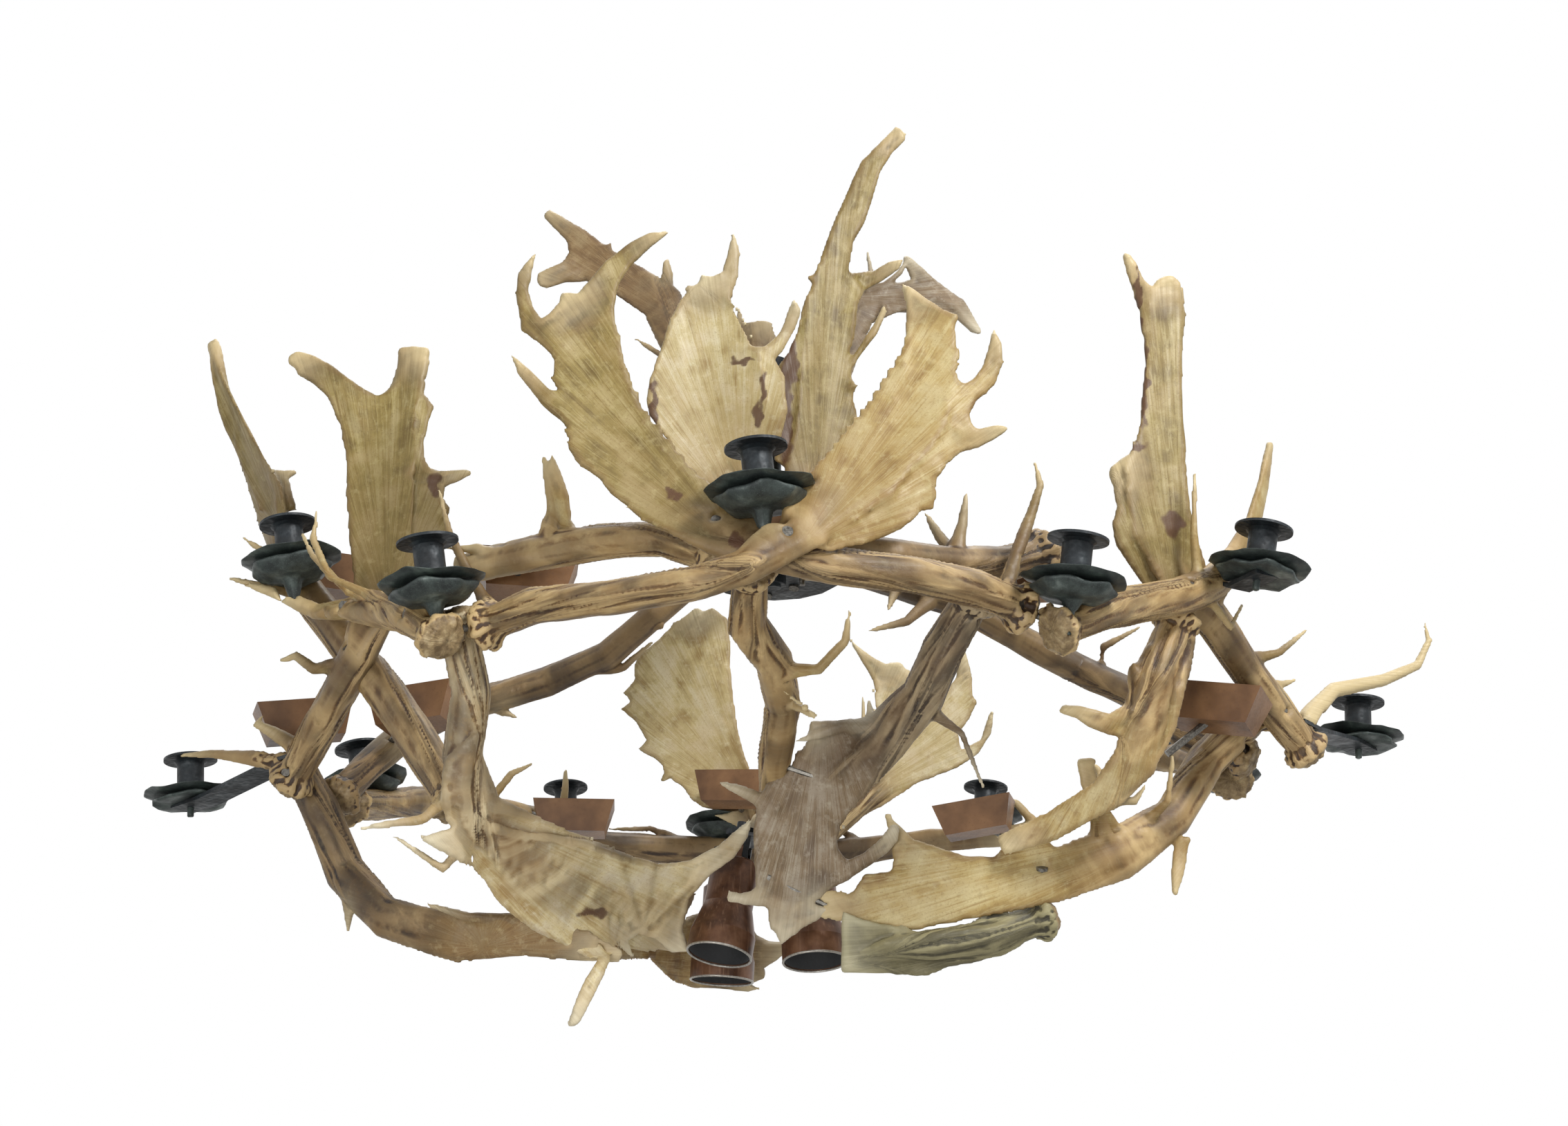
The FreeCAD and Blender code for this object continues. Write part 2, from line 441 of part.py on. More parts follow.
def place(shape, point, up, turn=0.0):
    """Turns a piece about its own Z axis, then stands it on a point with that axis along `up`."""
    spin = FreeCAD.Rotation(V(0, 0, 1), turn)
    lean = FreeCAD.Rotation(V(0, 0, 1), unit(up))
    moved = shape.copy()
    moved.Placement = FreeCAD.Placement(V(point), lean.multiply(spin)).multiply(moved.Placement)
    return moved


# ---- antlers -----------------------------------------------------------------------
def smooth(points, step):
    """A smooth curve through the points, given again at about `step` apart."""
    out = []
    for i in range(len(points) - 1):
        near = [points[max(i - 1, 0)], points[i], points[i + 1], points[min(i + 2, len(points) - 1)]]
        count = max(1, round(math.dist(near[1][:3], near[2][:3]) / step))
        for k in range(count):
            t = k / count
            out.append([0.5 * (2 * b + (c - a) * t + (2 * a - 5 * b + 4 * c - d) * t * t
                               + (3 * b - a - 3 * c + d) * t ** 3) for a, b, c, d in zip(*near)])
    out.append(list(points[-1]))
    return out


def stations(spec):
    """Centre, direction, width direction, face direction, width and thickness along the beam."""
    beam = [list(p) for p in spec["beam"]]
    beam[0][3:] = [0.86 * beam[1][3], 0.95 * beam[1][4]]
    path = smooth(beam, SECTION_STEP)
    face = unit(V(*spec["face"]))
    out = []
    for i, p in enumerate(path):
        before = path[max(i - 1, 0)]
        after = path[min(i + 1, len(path) - 1)]
        along = unit(V(*after[:3]) - V(*before[:3]))
        across = unit(along.cross(face))
        out.append((V(*p[:3]), along, across, across.cross(along), max(p[3], TIP_D), max(p[4], TIP_D)))
    return out


def section(centre, across, face, width, thick, cup, sides):
    """An oval section; wide thin ones are cupped towards their face like a palm."""
    bend = cup * max(0.0, width - 1.6 * thick)
    ring = []
    for k in range(sides):
        a = 2 * math.pi * k / sides
        lift = thick / 2 * math.sin(a) + bend * (math.cos(a) ** 2 - 0.4)
        ring.append(centre + across * (width / 2 * math.cos(a)) + face * lift)
    return ring


def closest(line, target):
    """The place along a beam nearest a point: centre, directions, width and thickness."""
    best = None
    for a, b in zip(line, line[1:]):
        for k in range(9):
            t = k / 8
            centre = a[0] + (b[0] - a[0]) * t
            gap = (centre - target).Length
            if best is None or gap < best[0]:
                near = a if t < 0.5 else b
                best = (gap, centre, near[1], near[2], near[3],
                        a[4] + (b[4] - a[4]) * t, a[5] + (b[5] - a[5]) * t)
    return best[1:]


def coronet(first, grow):
    """The knobbly ring and the pale butt at the base of the antler."""
    centre, along, across, face = first[:4]
    rings = []
    for d, s in ((BUTT_D, -BURR_H - 4), (BUTT_D, -BURR_H + 1), (BURR_D * 0.94, -BURR_H + 1),
                 (BURR_D, -BURR_H / 2), (BURR_D * 0.9, 0), (BUTT_D * 0.8, 9)):
        s = s - grow if s < 0 else s + grow
        wide, thick = d + 2 * grow, d * 0.92 + 2 * grow
        rings.append(section(centre + along * s, across, face, wide, thick, 0, BEAM_SIDES))
    return polyhedron(rings)


def tine(spec, line, root_d, points, grow):
    """A tapering point that grows out of the beam or the edge of the palm."""
    start = V(*points[0])
    centre, along, across, face, width, thick = closest(line, start)
    side = max(-0.36, min(0.36, (start - centre).dot(across) / width))
    bend = spec["cup"] * max(0.0, width - 1.6 * thick)
    start = centre + across * (side * width) + face * (bend * (4 * side * side - 0.4))
    path = smooth([list(start)] + [list(p) for p in points[1:]], TINE_STEP)
    flat = min(root_d, thick * 1.2)
    rings = []
    for i, p in enumerate(path):
        t = i / (len(path) - 1)
        ahead = unit(V(*path[min(i + 1, len(path) - 1)]) - V(*path[max(i - 1, 0)]))
        out = ahead.cross(face)
        out = unit(out) if out.Length > 0.05 else across
        d = root_d + (TIP_D - root_d) * t ** 0.8
        thin = min(d, flat + (TIP_D - flat) * t ** 1.4) + 2 * grow
        rings.append(section(V(*p), out, out.cross(ahead), d + 2 * grow, thin, 0, TINE_SIDES))
    return polyhedron(rings)


def antler(name, grow=0.0):
    """One shed antler: coronet, beam, palm and tines in one piece."""
    spec = ANTLERS[name]
    line = stations(spec)
    rings = []
    for i, (centre, along, across, face, width, thick) in enumerate(line):
        if i == len(line) - 1:
            centre = centre + along * grow
        width, thick = width + 2 * grow, thick + 2 * grow
        rings.append(section(centre, across, face, width, thick, spec["cup"], BEAM_SIDES))
    body = polyhedron(rings)
    parts = [coronet(line[0], grow)]
    parts += [tine(spec, line, d, points, grow) for d, points in spec["tines"]]
    return body.fuse(parts).removeSplitter()


def nearest(name, point):
    """The place along an antler nearest a point."""
    return closest(stations(ANTLERS[name]), V(*point))


def reach(place_on_beam, way):
    """Distance from the middle of a beam to its skin along a direction."""
    centre, along, across, face, width, thick = place_on_beam
    way = unit(way)
    u = way.dot(across) / (width / 2)
    v = way.dot(face) / (thick / 2)
    return 1 / max(math.hypot(u, v), 1 / width)


def rod_between(a, b, d, sides=8, grow=0.0):
    """A straight faceted rod from one point to another."""
    a, b = V(*a), V(*b)
    r = d / 2 + grow
    return place(stack([(r, -grow), (r, (b - a).Length + grow)], sides), a, b - a)


# ---- candle holders ------------------------------------------------------------------
STUD_TOP = 7.0         # stud that stands up through the pan into the cup


def cup():
    """Candle cup: a tube with a domed collar, bored for the candle from above."""
    r, rf, bore, hole = CUP_D / 2, FLANGE_D / 2, SOCKET_D / 2, STUD_D / 2 + CLEAR
    under = CUP_H - FLANGE_T
    floor = CUP_H - SOCKET_DEPTH
    return turned([(hole, 0), (r + 2, 0), (r, 3), (r, under - 3), (r + 4, under), (rf, under + 1),
                   (rf, under + 4), (bore + 6, CUP_H), (bore, CUP_H), (bore, floor),
                   (0, floor), (0, STUD_TOP + CLEAR), (hole, STUD_TOP + CLEAR)])


def ragged(r, z, phase, wave=0.03):
    """A hammered rim: a ring whose radius wanders a little."""
    return [V(r * (1 + wave * math.sin(3 * k + phase)) * math.cos(2 * math.pi * k / PAN_SIDES),
              r * (1 + wave * math.sin(3 * k + phase)) * math.sin(2 * math.pi * k / PAN_SIDES), z)
            for k in range(PAN_SIDES)]


def pan(phase):
    """Drip pan of hammered sheet, flat in the middle, with a hole for the stud."""
    flat, rim = PAN_FLAT_D / 2, PAN_D / 2
    outer = polyhedron([ragged(flat, 0, phase, 0), ragged(rim * 0.82, PAN_H * 0.4, phase, 0.02),
                        ragged(rim, PAN_H, phase)])
    inner = polyhedron([ragged(flat, PAN_T, phase, 0), ragged(rim * 0.82, PAN_H * 0.4 + PAN_T, phase, 0.02),
                        ragged(rim * 1.02, PAN_H + PAN_T, phase)])
    hole = stack([(STUD_D / 2 + CLEAR, -1), (STUD_D / 2 + CLEAR, PAN_T + 1)], 8)
    return outer.cut(inner).cut(hole)


def seat(foot_to_pan, stud_down):
    """Iron seat under a pan, with its stud below and above."""
    s, r, top = STUD_D / 2, SEAT_D / 2, foot_to_pan
    return stack([(s, -stud_down), (s, 0), (SEAT_FOOT_D / 2, 0), (r, top - 5), (r, top), (s, top),
                  (s, top + CLEAR + PAN_T + STUD_TOP)], 8)


def holder_room(foot_to_pan, stud_down, sides=12):
    """The room that a whole holder takes, with the clearance round it, down to its stud."""
    out = 1 / math.cos(math.pi / sides)
    s, g = STUD_D / 2 * out + CLEAR, CLEAR
    pan_z = foot_to_pan + CLEAR
    cup_z = pan_z + PAN_T + CLEAR
    levels = []
    if stud_down:
        levels = [(s, -stud_down - g), (s, -g), (SEAT_FOOT_D / 2 * out + g, -g)]
    seat_r, pan_r = SEAT_D / 2 * out + g, PAN_D / 2 * 1.03 * out + g
    cup_r, flange_r = CUP_D / 2 * out + 3, FLANGE_D / 2 * out + g
    under, rim = cup_z + CUP_H - FLANGE_T, cup_z + CUP_H + 1
    levels += [(seat_r, foot_to_pan - 5 - g), (seat_r, pan_z - g),
               (PAN_D / 2 * 0.88 * out, pan_z + PAN_H * 0.4 - g),
               (pan_r, pan_z + PAN_H - 3), (pan_r, pan_z + PAN_H + 4),
               (cup_r, cup_z + 8), (cup_r, under - 5), (flange_r, under - g), (flange_r, rim),
               (SOCKET_D / 2 + 4, rim), (SOCKET_D / 2 + 4, rim + 59)]
    return stack(levels, sides)


# ---- light boxes ---------------------------------------------------------------------
def rectangle(l, w, z):
    return [V(-l / 2, -w / 2, z), V(l / 2, -w / 2, z), V(l / 2, w / 2, z), V(-l / 2, w / 2, z)]


def light_box(grow=0.0):
    """A box of brown sheet that narrows downwards and is open at the top, which is at z = 0."""
    k = BOX_TAPER
    outer = polyhedron([rectangle(BOX_L * k + 2 * grow, BOX_W * k + 2 * grow, -BOX_H - grow),
                        rectangle(BOX_L + 2 * grow, BOX_W + 2 * grow, grow)])
    if grow:
        return outer
    t = 2 * BOX_T
    inner = polyhedron([rectangle(BOX_L * k - t, BOX_W * k - t, -BOX_H + BOX_T),
                        rectangle(BOX_L - t, BOX_W - t, 1)])
    return outer.cut(inner)


# ---- downlights ------------------------------------------------------------------------
SPOT_CAP = 16.0        # top of the barrel below the pin
SPOT_H = SPOT_NECK_H + SPOT_CONE_H + SPOT_COLLAR_H


def spot():
    """Copper barrel hung from its pin at the origin, open below, with a drilled lug on top."""
    neck, mouth, t = SPOT_NECK_D / 2, SPOT_MOUTH_D / 2, SPOT_T
    top, bottom = -SPOT_CAP, -SPOT_CAP - SPOT_H
    cone_top, cone_low = top - SPOT_NECK_H, top - SPOT_NECK_H - SPOT_CONE_H
    shell = turned([(0, top), (neck - 3, top), (neck, top - 3), (neck, cone_top), (mouth, cone_low),
                    (mouth, bottom), (mouth - t, bottom), (mouth - t, cone_low), (neck - t, cone_top),
                    (neck - t, top - 4), (0, top - 4)])
    lug = Part.makeBox(LUG_W, LUG_D, SPOT_CAP + 2, V(-LUG_W / 2, -LUG_D / 2, top - 2))
    lug = lug.fuse(Part.makeCylinder(LUG_D / 2, LUG_W, V(-LUG_W / 2, 0, 0), V(1, 0, 0)))
    body = shell.fuse(lug).removeSplitter()
    return body.cut(Part.makeCylinder(PIN_D / 2 + CLEAR, LUG_W + 2, V(-LUG_W / 2 - 1, 0, 0), V(1, 0, 0)))


def lamp():
    """Lamp and its holder: a ring against the inside of the neck, a stem, and a domed glass."""
    neck = SPOT_NECK_D / 2 - SPOT_T - CLEAR
    top = -SPOT_CAP - 4 - CLEAR
    ring = -SPOT_CAP - SPOT_NECK_H + 10
    return turned([(0, top), (12, top), (12, ring), (neck, ring), (neck, ring - 6), (LAMP_D / 2, ring - 6),
                   (LAMP_D / 2 - 3, ring - 11), (LAMP_D / 4, ring - 16), (0, ring - 17)])


def fork():
    """Two cheeks and a bridge round the lug, with a stem up to the flat bars."""
    gap = LUG_W / 2 + CLEAR
    high = LUG_D / 2 + 2
    cheek = [Part.makeBox(FORK_T, LUG_D, LUG_D / 2 + high, V(x, -LUG_D / 2, -LUG_D / 2))
             for x in (gap, -gap - FORK_T)]
    bridge = Part.makeBox(2 * (gap + FORK_T), LUG_D, 6, V(-gap - FORK_T, -LUG_D / 2, high))
    body = cheek[0].fuse([cheek[1], bridge]).removeSplitter()
    return body.cut(Part.makeCylinder(PIN_D / 2 + CLEAR, 60, V(-30, 0, 0), V(1, 0, 0)))


def pin():
    """Pin of a knuckle, with a head at each end."""
    half = LUG_W / 2 + CLEAR + FORK_T + CLEAR
    r, h = PIN_D / 2, PIN_D / 2 + 3
    body = turned([(0, -half - 3), (h, -half - 3), (h, -half), (r, -half), (r, half), (h, half),
                   (h, half + 3), (0, half + 3)])
    return place(body, V(0, 0, 0), V(1, 0, 0))


# ---- everything put together ---------------------------------------------------------
pieces = {}            # node name to its solids
rooms = []             # what the antlers have to clear


def add(node, *solids):
    pieces.setdefault(node, []).extend(solids)


def near_box(a, b, gap=2.0):
    box = FreeCAD.BoundBox(a.BoundBox)
    box.enlarge(gap)
    return box.intersect(b.BoundBox)


def strike(name, start, way, far):
    """Where a line first runs into an antler and where it comes out again."""
    inside = raw[name].common(Part.makeLine(start, start + way * far))
    if not inside.Edges:
        return None
    steps = sorted((v.Point - start).dot(way) for v in inside.Edges[0].Vertexes)
    for edge in inside.Edges[1:]:
        more = sorted((v.Point - start).dot(way) for v in edge.Vertexes)
        steps = more if more[0] < steps[0] else steps
    return steps


raw = {name: antler(name) for name in ANTLERS}


# iron hub under the crown, its rod and the eye that the whole thing hangs by
HUB = V(AXIS_X, AXIS_Y, HUB_Z)
hub = place(stack([(HUB_D / 2, 0), (HUB_D / 2, HUB_T)], 16), HUB, V(0, 0, 1))
hole_r = (ROD_D / 2 + CLEAR) / math.cos(math.pi / 12)
rod_hole = place(stack([(hole_r, -50), (hole_r, 50)], 12), HUB, V(0, 0, 1))
rod_r, nut_r, nut_top = ROD_D / 2, NUT_D / 2, HUB_T + NUT_H
rod = turned([(0, -NUT_H - 4), (rod_r, -NUT_H - 4), (rod_r, -NUT_H), (nut_r, -NUT_H), (nut_r, 0),
              (rod_r, 0), (rod_r, HUB_T), (nut_r, HUB_T), (nut_r, nut_top), (rod_r, nut_top),
              (rod_r, ROD_TOP_Z - HUB_Z), (0, ROD_TOP_Z - HUB_Z)])
rod = place(rod, HUB, V(0, 0, 1))
EYE = V(AXIS_X, AXIS_Y, ROD_TOP_Z + EYE_D / 2 - 4)
ring = Part.makeCylinder(EYE_D / 2, EYE_T, EYE + V(0, EYE_T / 2, 0), V(0, -1, 0))
bore = Part.makeCylinder(EYE_BORE / 2, EYE_T + 2, EYE + V(0, EYE_T / 2 + 1, 0), V(0, -1, 0))
rod = rod.fuse(ring).cut(bore)
hub = hub.cut(rod_hole)
rooms.append(place(stack([(NUT_D / 2 + 2, -NUT_H - 6), (NUT_D / 2 + 2, HUB_T + NUT_H + 2),
                          (ROD_D / 2 + 2, HUB_T + NUT_H + 2), (ROD_D / 2 + 2, ROD_TOP_Z - HUB_Z)], 12),
                   HUB, V(0, 0, 1)))
rooms.append(place(stack([(HUB_D / 2 + CLEAR, -CLEAR), (HUB_D / 2 + CLEAR, HUB_T + CLEAR)], 16),
                   HUB, V(0, 0, 1)))

# candle holders on their seats
for k, (name, (host, point, lean)) in enumerate(HOLDERS.items()):
    axis, at_pan = unit(V(*lean)), V(*point)
    steps = strike(host, at_pan, axis * -1, 90)
    if not steps:
        raise ValueError("holder " + name + " misses " + host)
    high = steps[0] + 2
    down = min(STUD_L, steps[1] - steps[0] - 8)
    foot = at_pan - axis * (high + CLEAR)
    level = "upper" if name in UPPER else "lower"
    add("pan_seats", place(seat(high, down), foot, axis))
    add("drip_pans_" + level, place(pan(k), at_pan, axis, 23 * k))
    add("candle_cups_" + level, place(cup(), at_pan + axis * (PAN_T + CLEAR), axis))
    rooms.append(place(holder_room(high, down), foot, axis))

# the two strap arms and their holders
for k, (name, (host, root, point, lean)) in enumerate(ARMS.items()):
    axis = unit(V(*lean))
    on_beam = nearest(host, root)
    inner = on_beam[0] + V(0, 0, 1) * (reach(on_beam, V(0, 0, 1)) - STRAP_T)
    end = V(*point) - axis * (8 + CLEAR + STRAP_T)
    run = unit(V(end.x - inner.x, end.y - inner.y, 0))
    side = V(-run.y, run.x, 0)
    gap = math.hypot(end.x - inner.x, end.y - inner.y)
    line = [inner - run * 16, inner + run * min(30, 0.3 * gap),
            end - run * min(34, 0.35 * gap), end + run * 20]
    rings, keep = [], []
    for p in line:
        for out, g in ((rings, 0), (keep, CLEAR)):
            half = side * (STRAP_W / 2 + g)
            low, top = V(0, 0, -g), V(0, 0, STRAP_T + g)
            out.append([p - half + low, p + half + low, p + half + top, p - half + top])
    foot = end + axis * (STRAP_T + CLEAR)
    hole = place(stack([(STUD_D / 2 + CLEAR, -20), (STUD_D / 2 + CLEAR, 20)], 8), foot, axis)
    strap = polyhedron(rings)
    level = "upper" if name in UPPER else "lower"
    flat = place(stack([(SEAT_D, -CLEAR), (SEAT_D, 40)], 12), foot, axis)
    add("strap_arms", strap.cut(hole).cut(flat))
    add("pan_seats", place(seat(8, STRAP_T + 12), foot, axis))
    at_pan = foot + axis * (8 + CLEAR)
    add("drip_pans_" + level, place(pan(k + 5), at_pan, axis, 31 * k))
    add("candle_cups_" + level, place(cup(), at_pan + axis * (PAN_T + CLEAR), axis))
    rooms.append(place(holder_room(8, 0), foot, axis))
    rooms.append(polyhedron(keep))

# light boxes, the posts that carry them and the lamps inside
holder_rooms = list(rooms)
for name, (host, point, up, turn) in BOXES.items():
    top, axis = V(*point), unit(V(*up))
    low = top - axis * BOX_H
    middle = top - axis * (BOX_H * 0.7)
    root = raw[host].distToShape(Part.Vertex(middle))[1][0][0]
    way = unit(middle - root)
    wall = min((v.Point - root).dot(way) for v in
               place(light_box(CLEAR), top, axis, turn).common(Part.makeLine(root - way, middle)).Vertexes)
    head = root + way * (wall + BOX_T + 6)
    foot = root - way * 14
    post = rod_between(foot, head, STUD_D)
    for taken in holder_rooms:
        if near_box(taken, post):
            post = post.cut(taken)
    room = rod_between(foot, head + way * 2, STUD_D, grow=CLEAR)
    box = place(light_box(), top, axis, turn)
    bulb = turned([(0, 0), (BOX_LAMP_D / 2, 0), (BOX_LAMP_D / 2, BOX_LAMP_H * 0.6),
                   (BOX_LAMP_D / 3, BOX_LAMP_H), (0, BOX_LAMP_H)])
    bulb = place(bulb, low + axis * (BOX_T + CLEAR), axis)
    add(name, box.cut(room))
    add("box_lamps", bulb.cut(room))
    add("box_posts", post)
    rooms.append(room)
    rooms.append(place(light_box(CLEAR), top, axis, turn))

# the flat iron bars at the lower end of the middle antler, and the three downlights under them
centre = V(SPIDER_CENTRE[0], SPIDER_CENTRE[1], SPIDER_Z)
bars = stack([(SPIDER_W * 0.72, 0), (SPIDER_W * 0.72, SPIDER_T)], 12)
bars = place(bars, centre, V(0, 0, 1))
for name, (pivot, lean, tilt) in SPOTS.items():
    fork_turn = FreeCAD.Rotation(V(0, 1, 0), lean)
    up = fork_turn.multVec(V(0, 0, 1))
    at = V(*pivot) + up * ((SPIDER_Z - pivot[2]) / up.z)
    run = unit(V(at.x - centre.x, at.y - centre.y, 0))
    side = V(-run.y, run.x, 0) * (SPIDER_W / 2)
    rings = [[p - side, p + side, p + side + V(0, 0, SPIDER_T), p - side + V(0, 0, SPIDER_T)]
             for p in (centre, at + run * (SPIDER_W / 2))]
    bars = bars.fuse(polyhedron(rings))
bars = bars.removeSplitter()
for name, (pivot, lean, tilt) in SPOTS.items():
    fork_turn = FreeCAD.Rotation(V(0, 1, 0), lean)
    up = fork_turn.multVec(V(0, 0, 1))
    at = V(*pivot) + up * ((SPIDER_Z + SPIDER_T - pivot[2]) / up.z)
    bars = bars.cut(rod_between(V(*pivot), at + up * 20, FORK_STEM_D, 12, grow=CLEAR))
    stem = rod_between(V(*pivot) + up * (LUG_D / 2 + 5), at + up * 8, FORK_STEM_D, 12)
    body = fork()
    body.Placement = FreeCAD.Placement(V(*pivot), fork_turn)
    add("downlight_forks", body.fuse(stem).removeSplitter())
    turn = FreeCAD.Placement(V(*pivot), fork_turn.multiply(FreeCAD.Rotation(V(1, 0, 0), tilt)))
    barrel, bulb, axle = spot(), lamp(), pin()
    barrel.Placement = turn
    bulb.Placement = turn
    axle.Placement = FreeCAD.Placement(V(*pivot), fork_turn).multiply(axle.Placement)
    add("downlight_" + name, barrel)
    add("downlight_lamp_" + name, bulb)
    add("downlight_pins", axle)
    wide, slim = SPOT_MOUTH_D / 2 + 3, SPOT_NECK_D / 2 + 3
    cone_top = -SPOT_CAP - SPOT_NECK_H + 4
    keep = stack([(wide, -SPOT_CAP - SPOT_H - 4), (wide, cone_top - SPOT_CONE_H + 1), (slim, cone_top),
                  (slim, -SPOT_CAP), (22, -SPOT_CAP), (22, 40)], 12)
    keep.Placement = turn
    rooms.append(keep)
add("downlight_bars", bars)
bars_r = SPIDER_W * 1.2
rooms.append(place(stack([(bars_r, -60), (bars_r, SPIDER_T + CLEAR)], 12), centre, V(0, 0, 1)))

# lag screws: through one antler into the next, from the hub into the antlers round it, and so on
screws = []
screw_rooms = []


def screw(head, way, length):
    """A flush-headed screw from its head along a direction, and the room that it takes."""
    r, R, h = SCREW_D / 2, SCREW_HEAD_D / 2, SCREW_HEAD_H
    screws.append(place(stack([(R, -h), (R, 0), (r, 0), (r, length)], 8), head, way))
    room = stack([(R + CLEAR, -60), (R + CLEAR, 0), (r + CLEAR, 0), (r + CLEAR, length + 1)], 8)
    rooms.append(place(room, head, way))
    screw_rooms.append(rooms[-1])


for a, b, point in CROSSINGS:
    one, two = nearest(a, point), nearest(b, point)
    way = two[0] - one[0]
    way = unit(way) if way.Length > 6 else one[3]
    start = one[0] - way * (reach(one, way) - SCREW_HEAD_H - 3)
    screw(start, way, (two[0] - start).dot(way) + SCREW_BITE)
for name in ("antler_crown_front", "antler_crown_spike", "antler_crown_back_left", "antler_crown_back_right",
             "antler_crown_back"):
    butt = stations(ANTLERS[name])[0]
    head = V(butt[0].x, butt[0].y, HUB_Z - CLEAR)
    head = HUB + V(head.x - HUB.x, head.y - HUB.y, 0) * 0.85
    screw(head - V(0, 0, CLEAR), unit(butt[0] + butt[1] * 18 - head), HUB_T + 34)
for name in ("antler_right_inner", "antler_left_inner"):
    tip = stations(ANTLERS[name])[-1]
    head = HUB + V(tip[0].x - HUB.x, tip[0].y - HUB.y, 0) * 0.9 + V(0, 0, HUB_T + CLEAR)
    screw(head, V(0, 0, -1), HUB_T + 26)
for name, (host, root, point, lean) in ARMS.items():
    on_beam = nearest(host, root)
    high = reach(on_beam, V(0, 0, 1))
    screw(on_beam[0] + V(0, 0, high + CLEAR), V(0, 0, -1), STRAP_T + min(30, 2 * high - 6))


# ---- antlers, each coped to the hardware and to the antlers before it ------------------
grown = {name: antler(name, CLEAR) for name in ANTLERS}
done = []
for name in ANTLERS:
    solid = raw[name]
    tools = [room for room in rooms if near_box(solid, room)]
    tools += [grown[other] for other in done if near_box(solid, grown[other])]
    if tools:
        solid = solid.cut(tools)
    solids = sorted(solid.Solids, key=lambda s: -s.Volume)
    if len(solids) > 1:
        print(name, "loses %.0f mm3 that its neighbours cut off" % sum(s.Volume for s in solids[1:]))
    add(name, solids[0])
    done.append(name)

add("hub_plate", hub.cut(screw_rooms))
pieces["strap_arms"] = [strap.cut([room for room in screw_rooms if near_box(strap, room)])
                        for strap in pieces["strap_arms"]]
add("hanging_rod", rod)
add("lag_screws", *screws)

# ---- the node files, with the middle of the hanging eye at the origin ---------------------
os.makedirs("parts", exist_ok=True)
count = 0
for node, solids in pieces.items():
    shape = solids[0] if len(solids) == 1 else Part.makeCompound(solids)
    shape.translate(EYE * -1)
    shape.exportStep("parts/" + node + ".step")
    triangles = len(shape.tessellate(0.3)[1])
    count += triangles
    print("%-26s %2d solids, %5d facets, valid %s" % (node, len(solids), triangles, shape.isValid()))
print("nodes", len(pieces), "facets", count)
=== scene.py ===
import heapq
import math

import bmesh
import bpy
import numpy as np
from mathutils import Matrix, Vector, noise
from mathutils.bvhtree import BVHTree
from mathutils.kdtree import KDTree


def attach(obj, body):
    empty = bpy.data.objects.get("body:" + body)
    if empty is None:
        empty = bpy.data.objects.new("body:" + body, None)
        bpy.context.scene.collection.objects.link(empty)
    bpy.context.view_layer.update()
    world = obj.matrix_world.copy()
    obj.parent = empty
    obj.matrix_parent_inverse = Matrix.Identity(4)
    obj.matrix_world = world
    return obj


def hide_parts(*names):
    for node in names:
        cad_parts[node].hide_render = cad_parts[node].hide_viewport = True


# Antler chandelier: the looks of each antler, cup, pan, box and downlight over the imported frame.
# Metres, +Z up, +X to the right, +Y away from the viewer, with the origin in the hanging eye.

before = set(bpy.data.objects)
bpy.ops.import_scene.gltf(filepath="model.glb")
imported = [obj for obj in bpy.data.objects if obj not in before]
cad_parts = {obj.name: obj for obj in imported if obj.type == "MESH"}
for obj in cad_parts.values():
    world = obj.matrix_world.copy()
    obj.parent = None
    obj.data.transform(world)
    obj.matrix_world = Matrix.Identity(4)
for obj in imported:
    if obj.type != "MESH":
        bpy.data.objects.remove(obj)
scene = bpy.context.scene
MM = 0.001
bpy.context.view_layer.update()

# the ring's own frame, in which places are noted below, lies under the hanging eye
RING = Vector((-12, -55, -527)) * MM


def spot(x, y, z):
    """A place noted in the ring's frame in millimetres, in the frame of the object."""
    return Vector((x, y, z)) * MM + RING


# the photograph: its size in pixels, the lens, and where and how steeply upwards it was taken
PHOTO_W, PHOTO_H = 2268, 1628
LENS, SENSOR = 50.4, 36.0
RISE = math.radians(21.7)
VIEWER = spot(26, -2745, -871)
FOCAL = LENS / SENSOR * PHOTO_W
AHEAD = Vector((0, math.cos(RISE), math.sin(RISE)))
ABOVE = Vector((0, -math.sin(RISE), math.cos(RISE)))


def sight(x, y):
    """Line of sight one metre deep, through a place x to the right and y above the photograph's middle."""
    return AHEAD + Vector((x / FOCAL, 0, 0)) + ABOVE * (y / FOCAL)


def in_photo(place):
    """How deep places lie, and how far right of and above the photograph's middle they are seen."""
    away = place - np.array(VIEWER)
    deep = away @ np.array(AHEAD)
    return deep, away[:, 0] / deep * FOCAL, away @ np.array(ABOVE) / deep * FOCAL


# ---- materials -------------------------------------------------------------------
def srgb(code):
    """Linear colour of an sRGB hex code."""
    out = []
    for k in (1, 3, 5):
        c = int(code[k:k + 2], 16) / 255
        out.append(c / 12.92 if c <= 0.04045 else ((c + 0.055) / 1.055) ** 2.4)
    return (*out, 1.0)


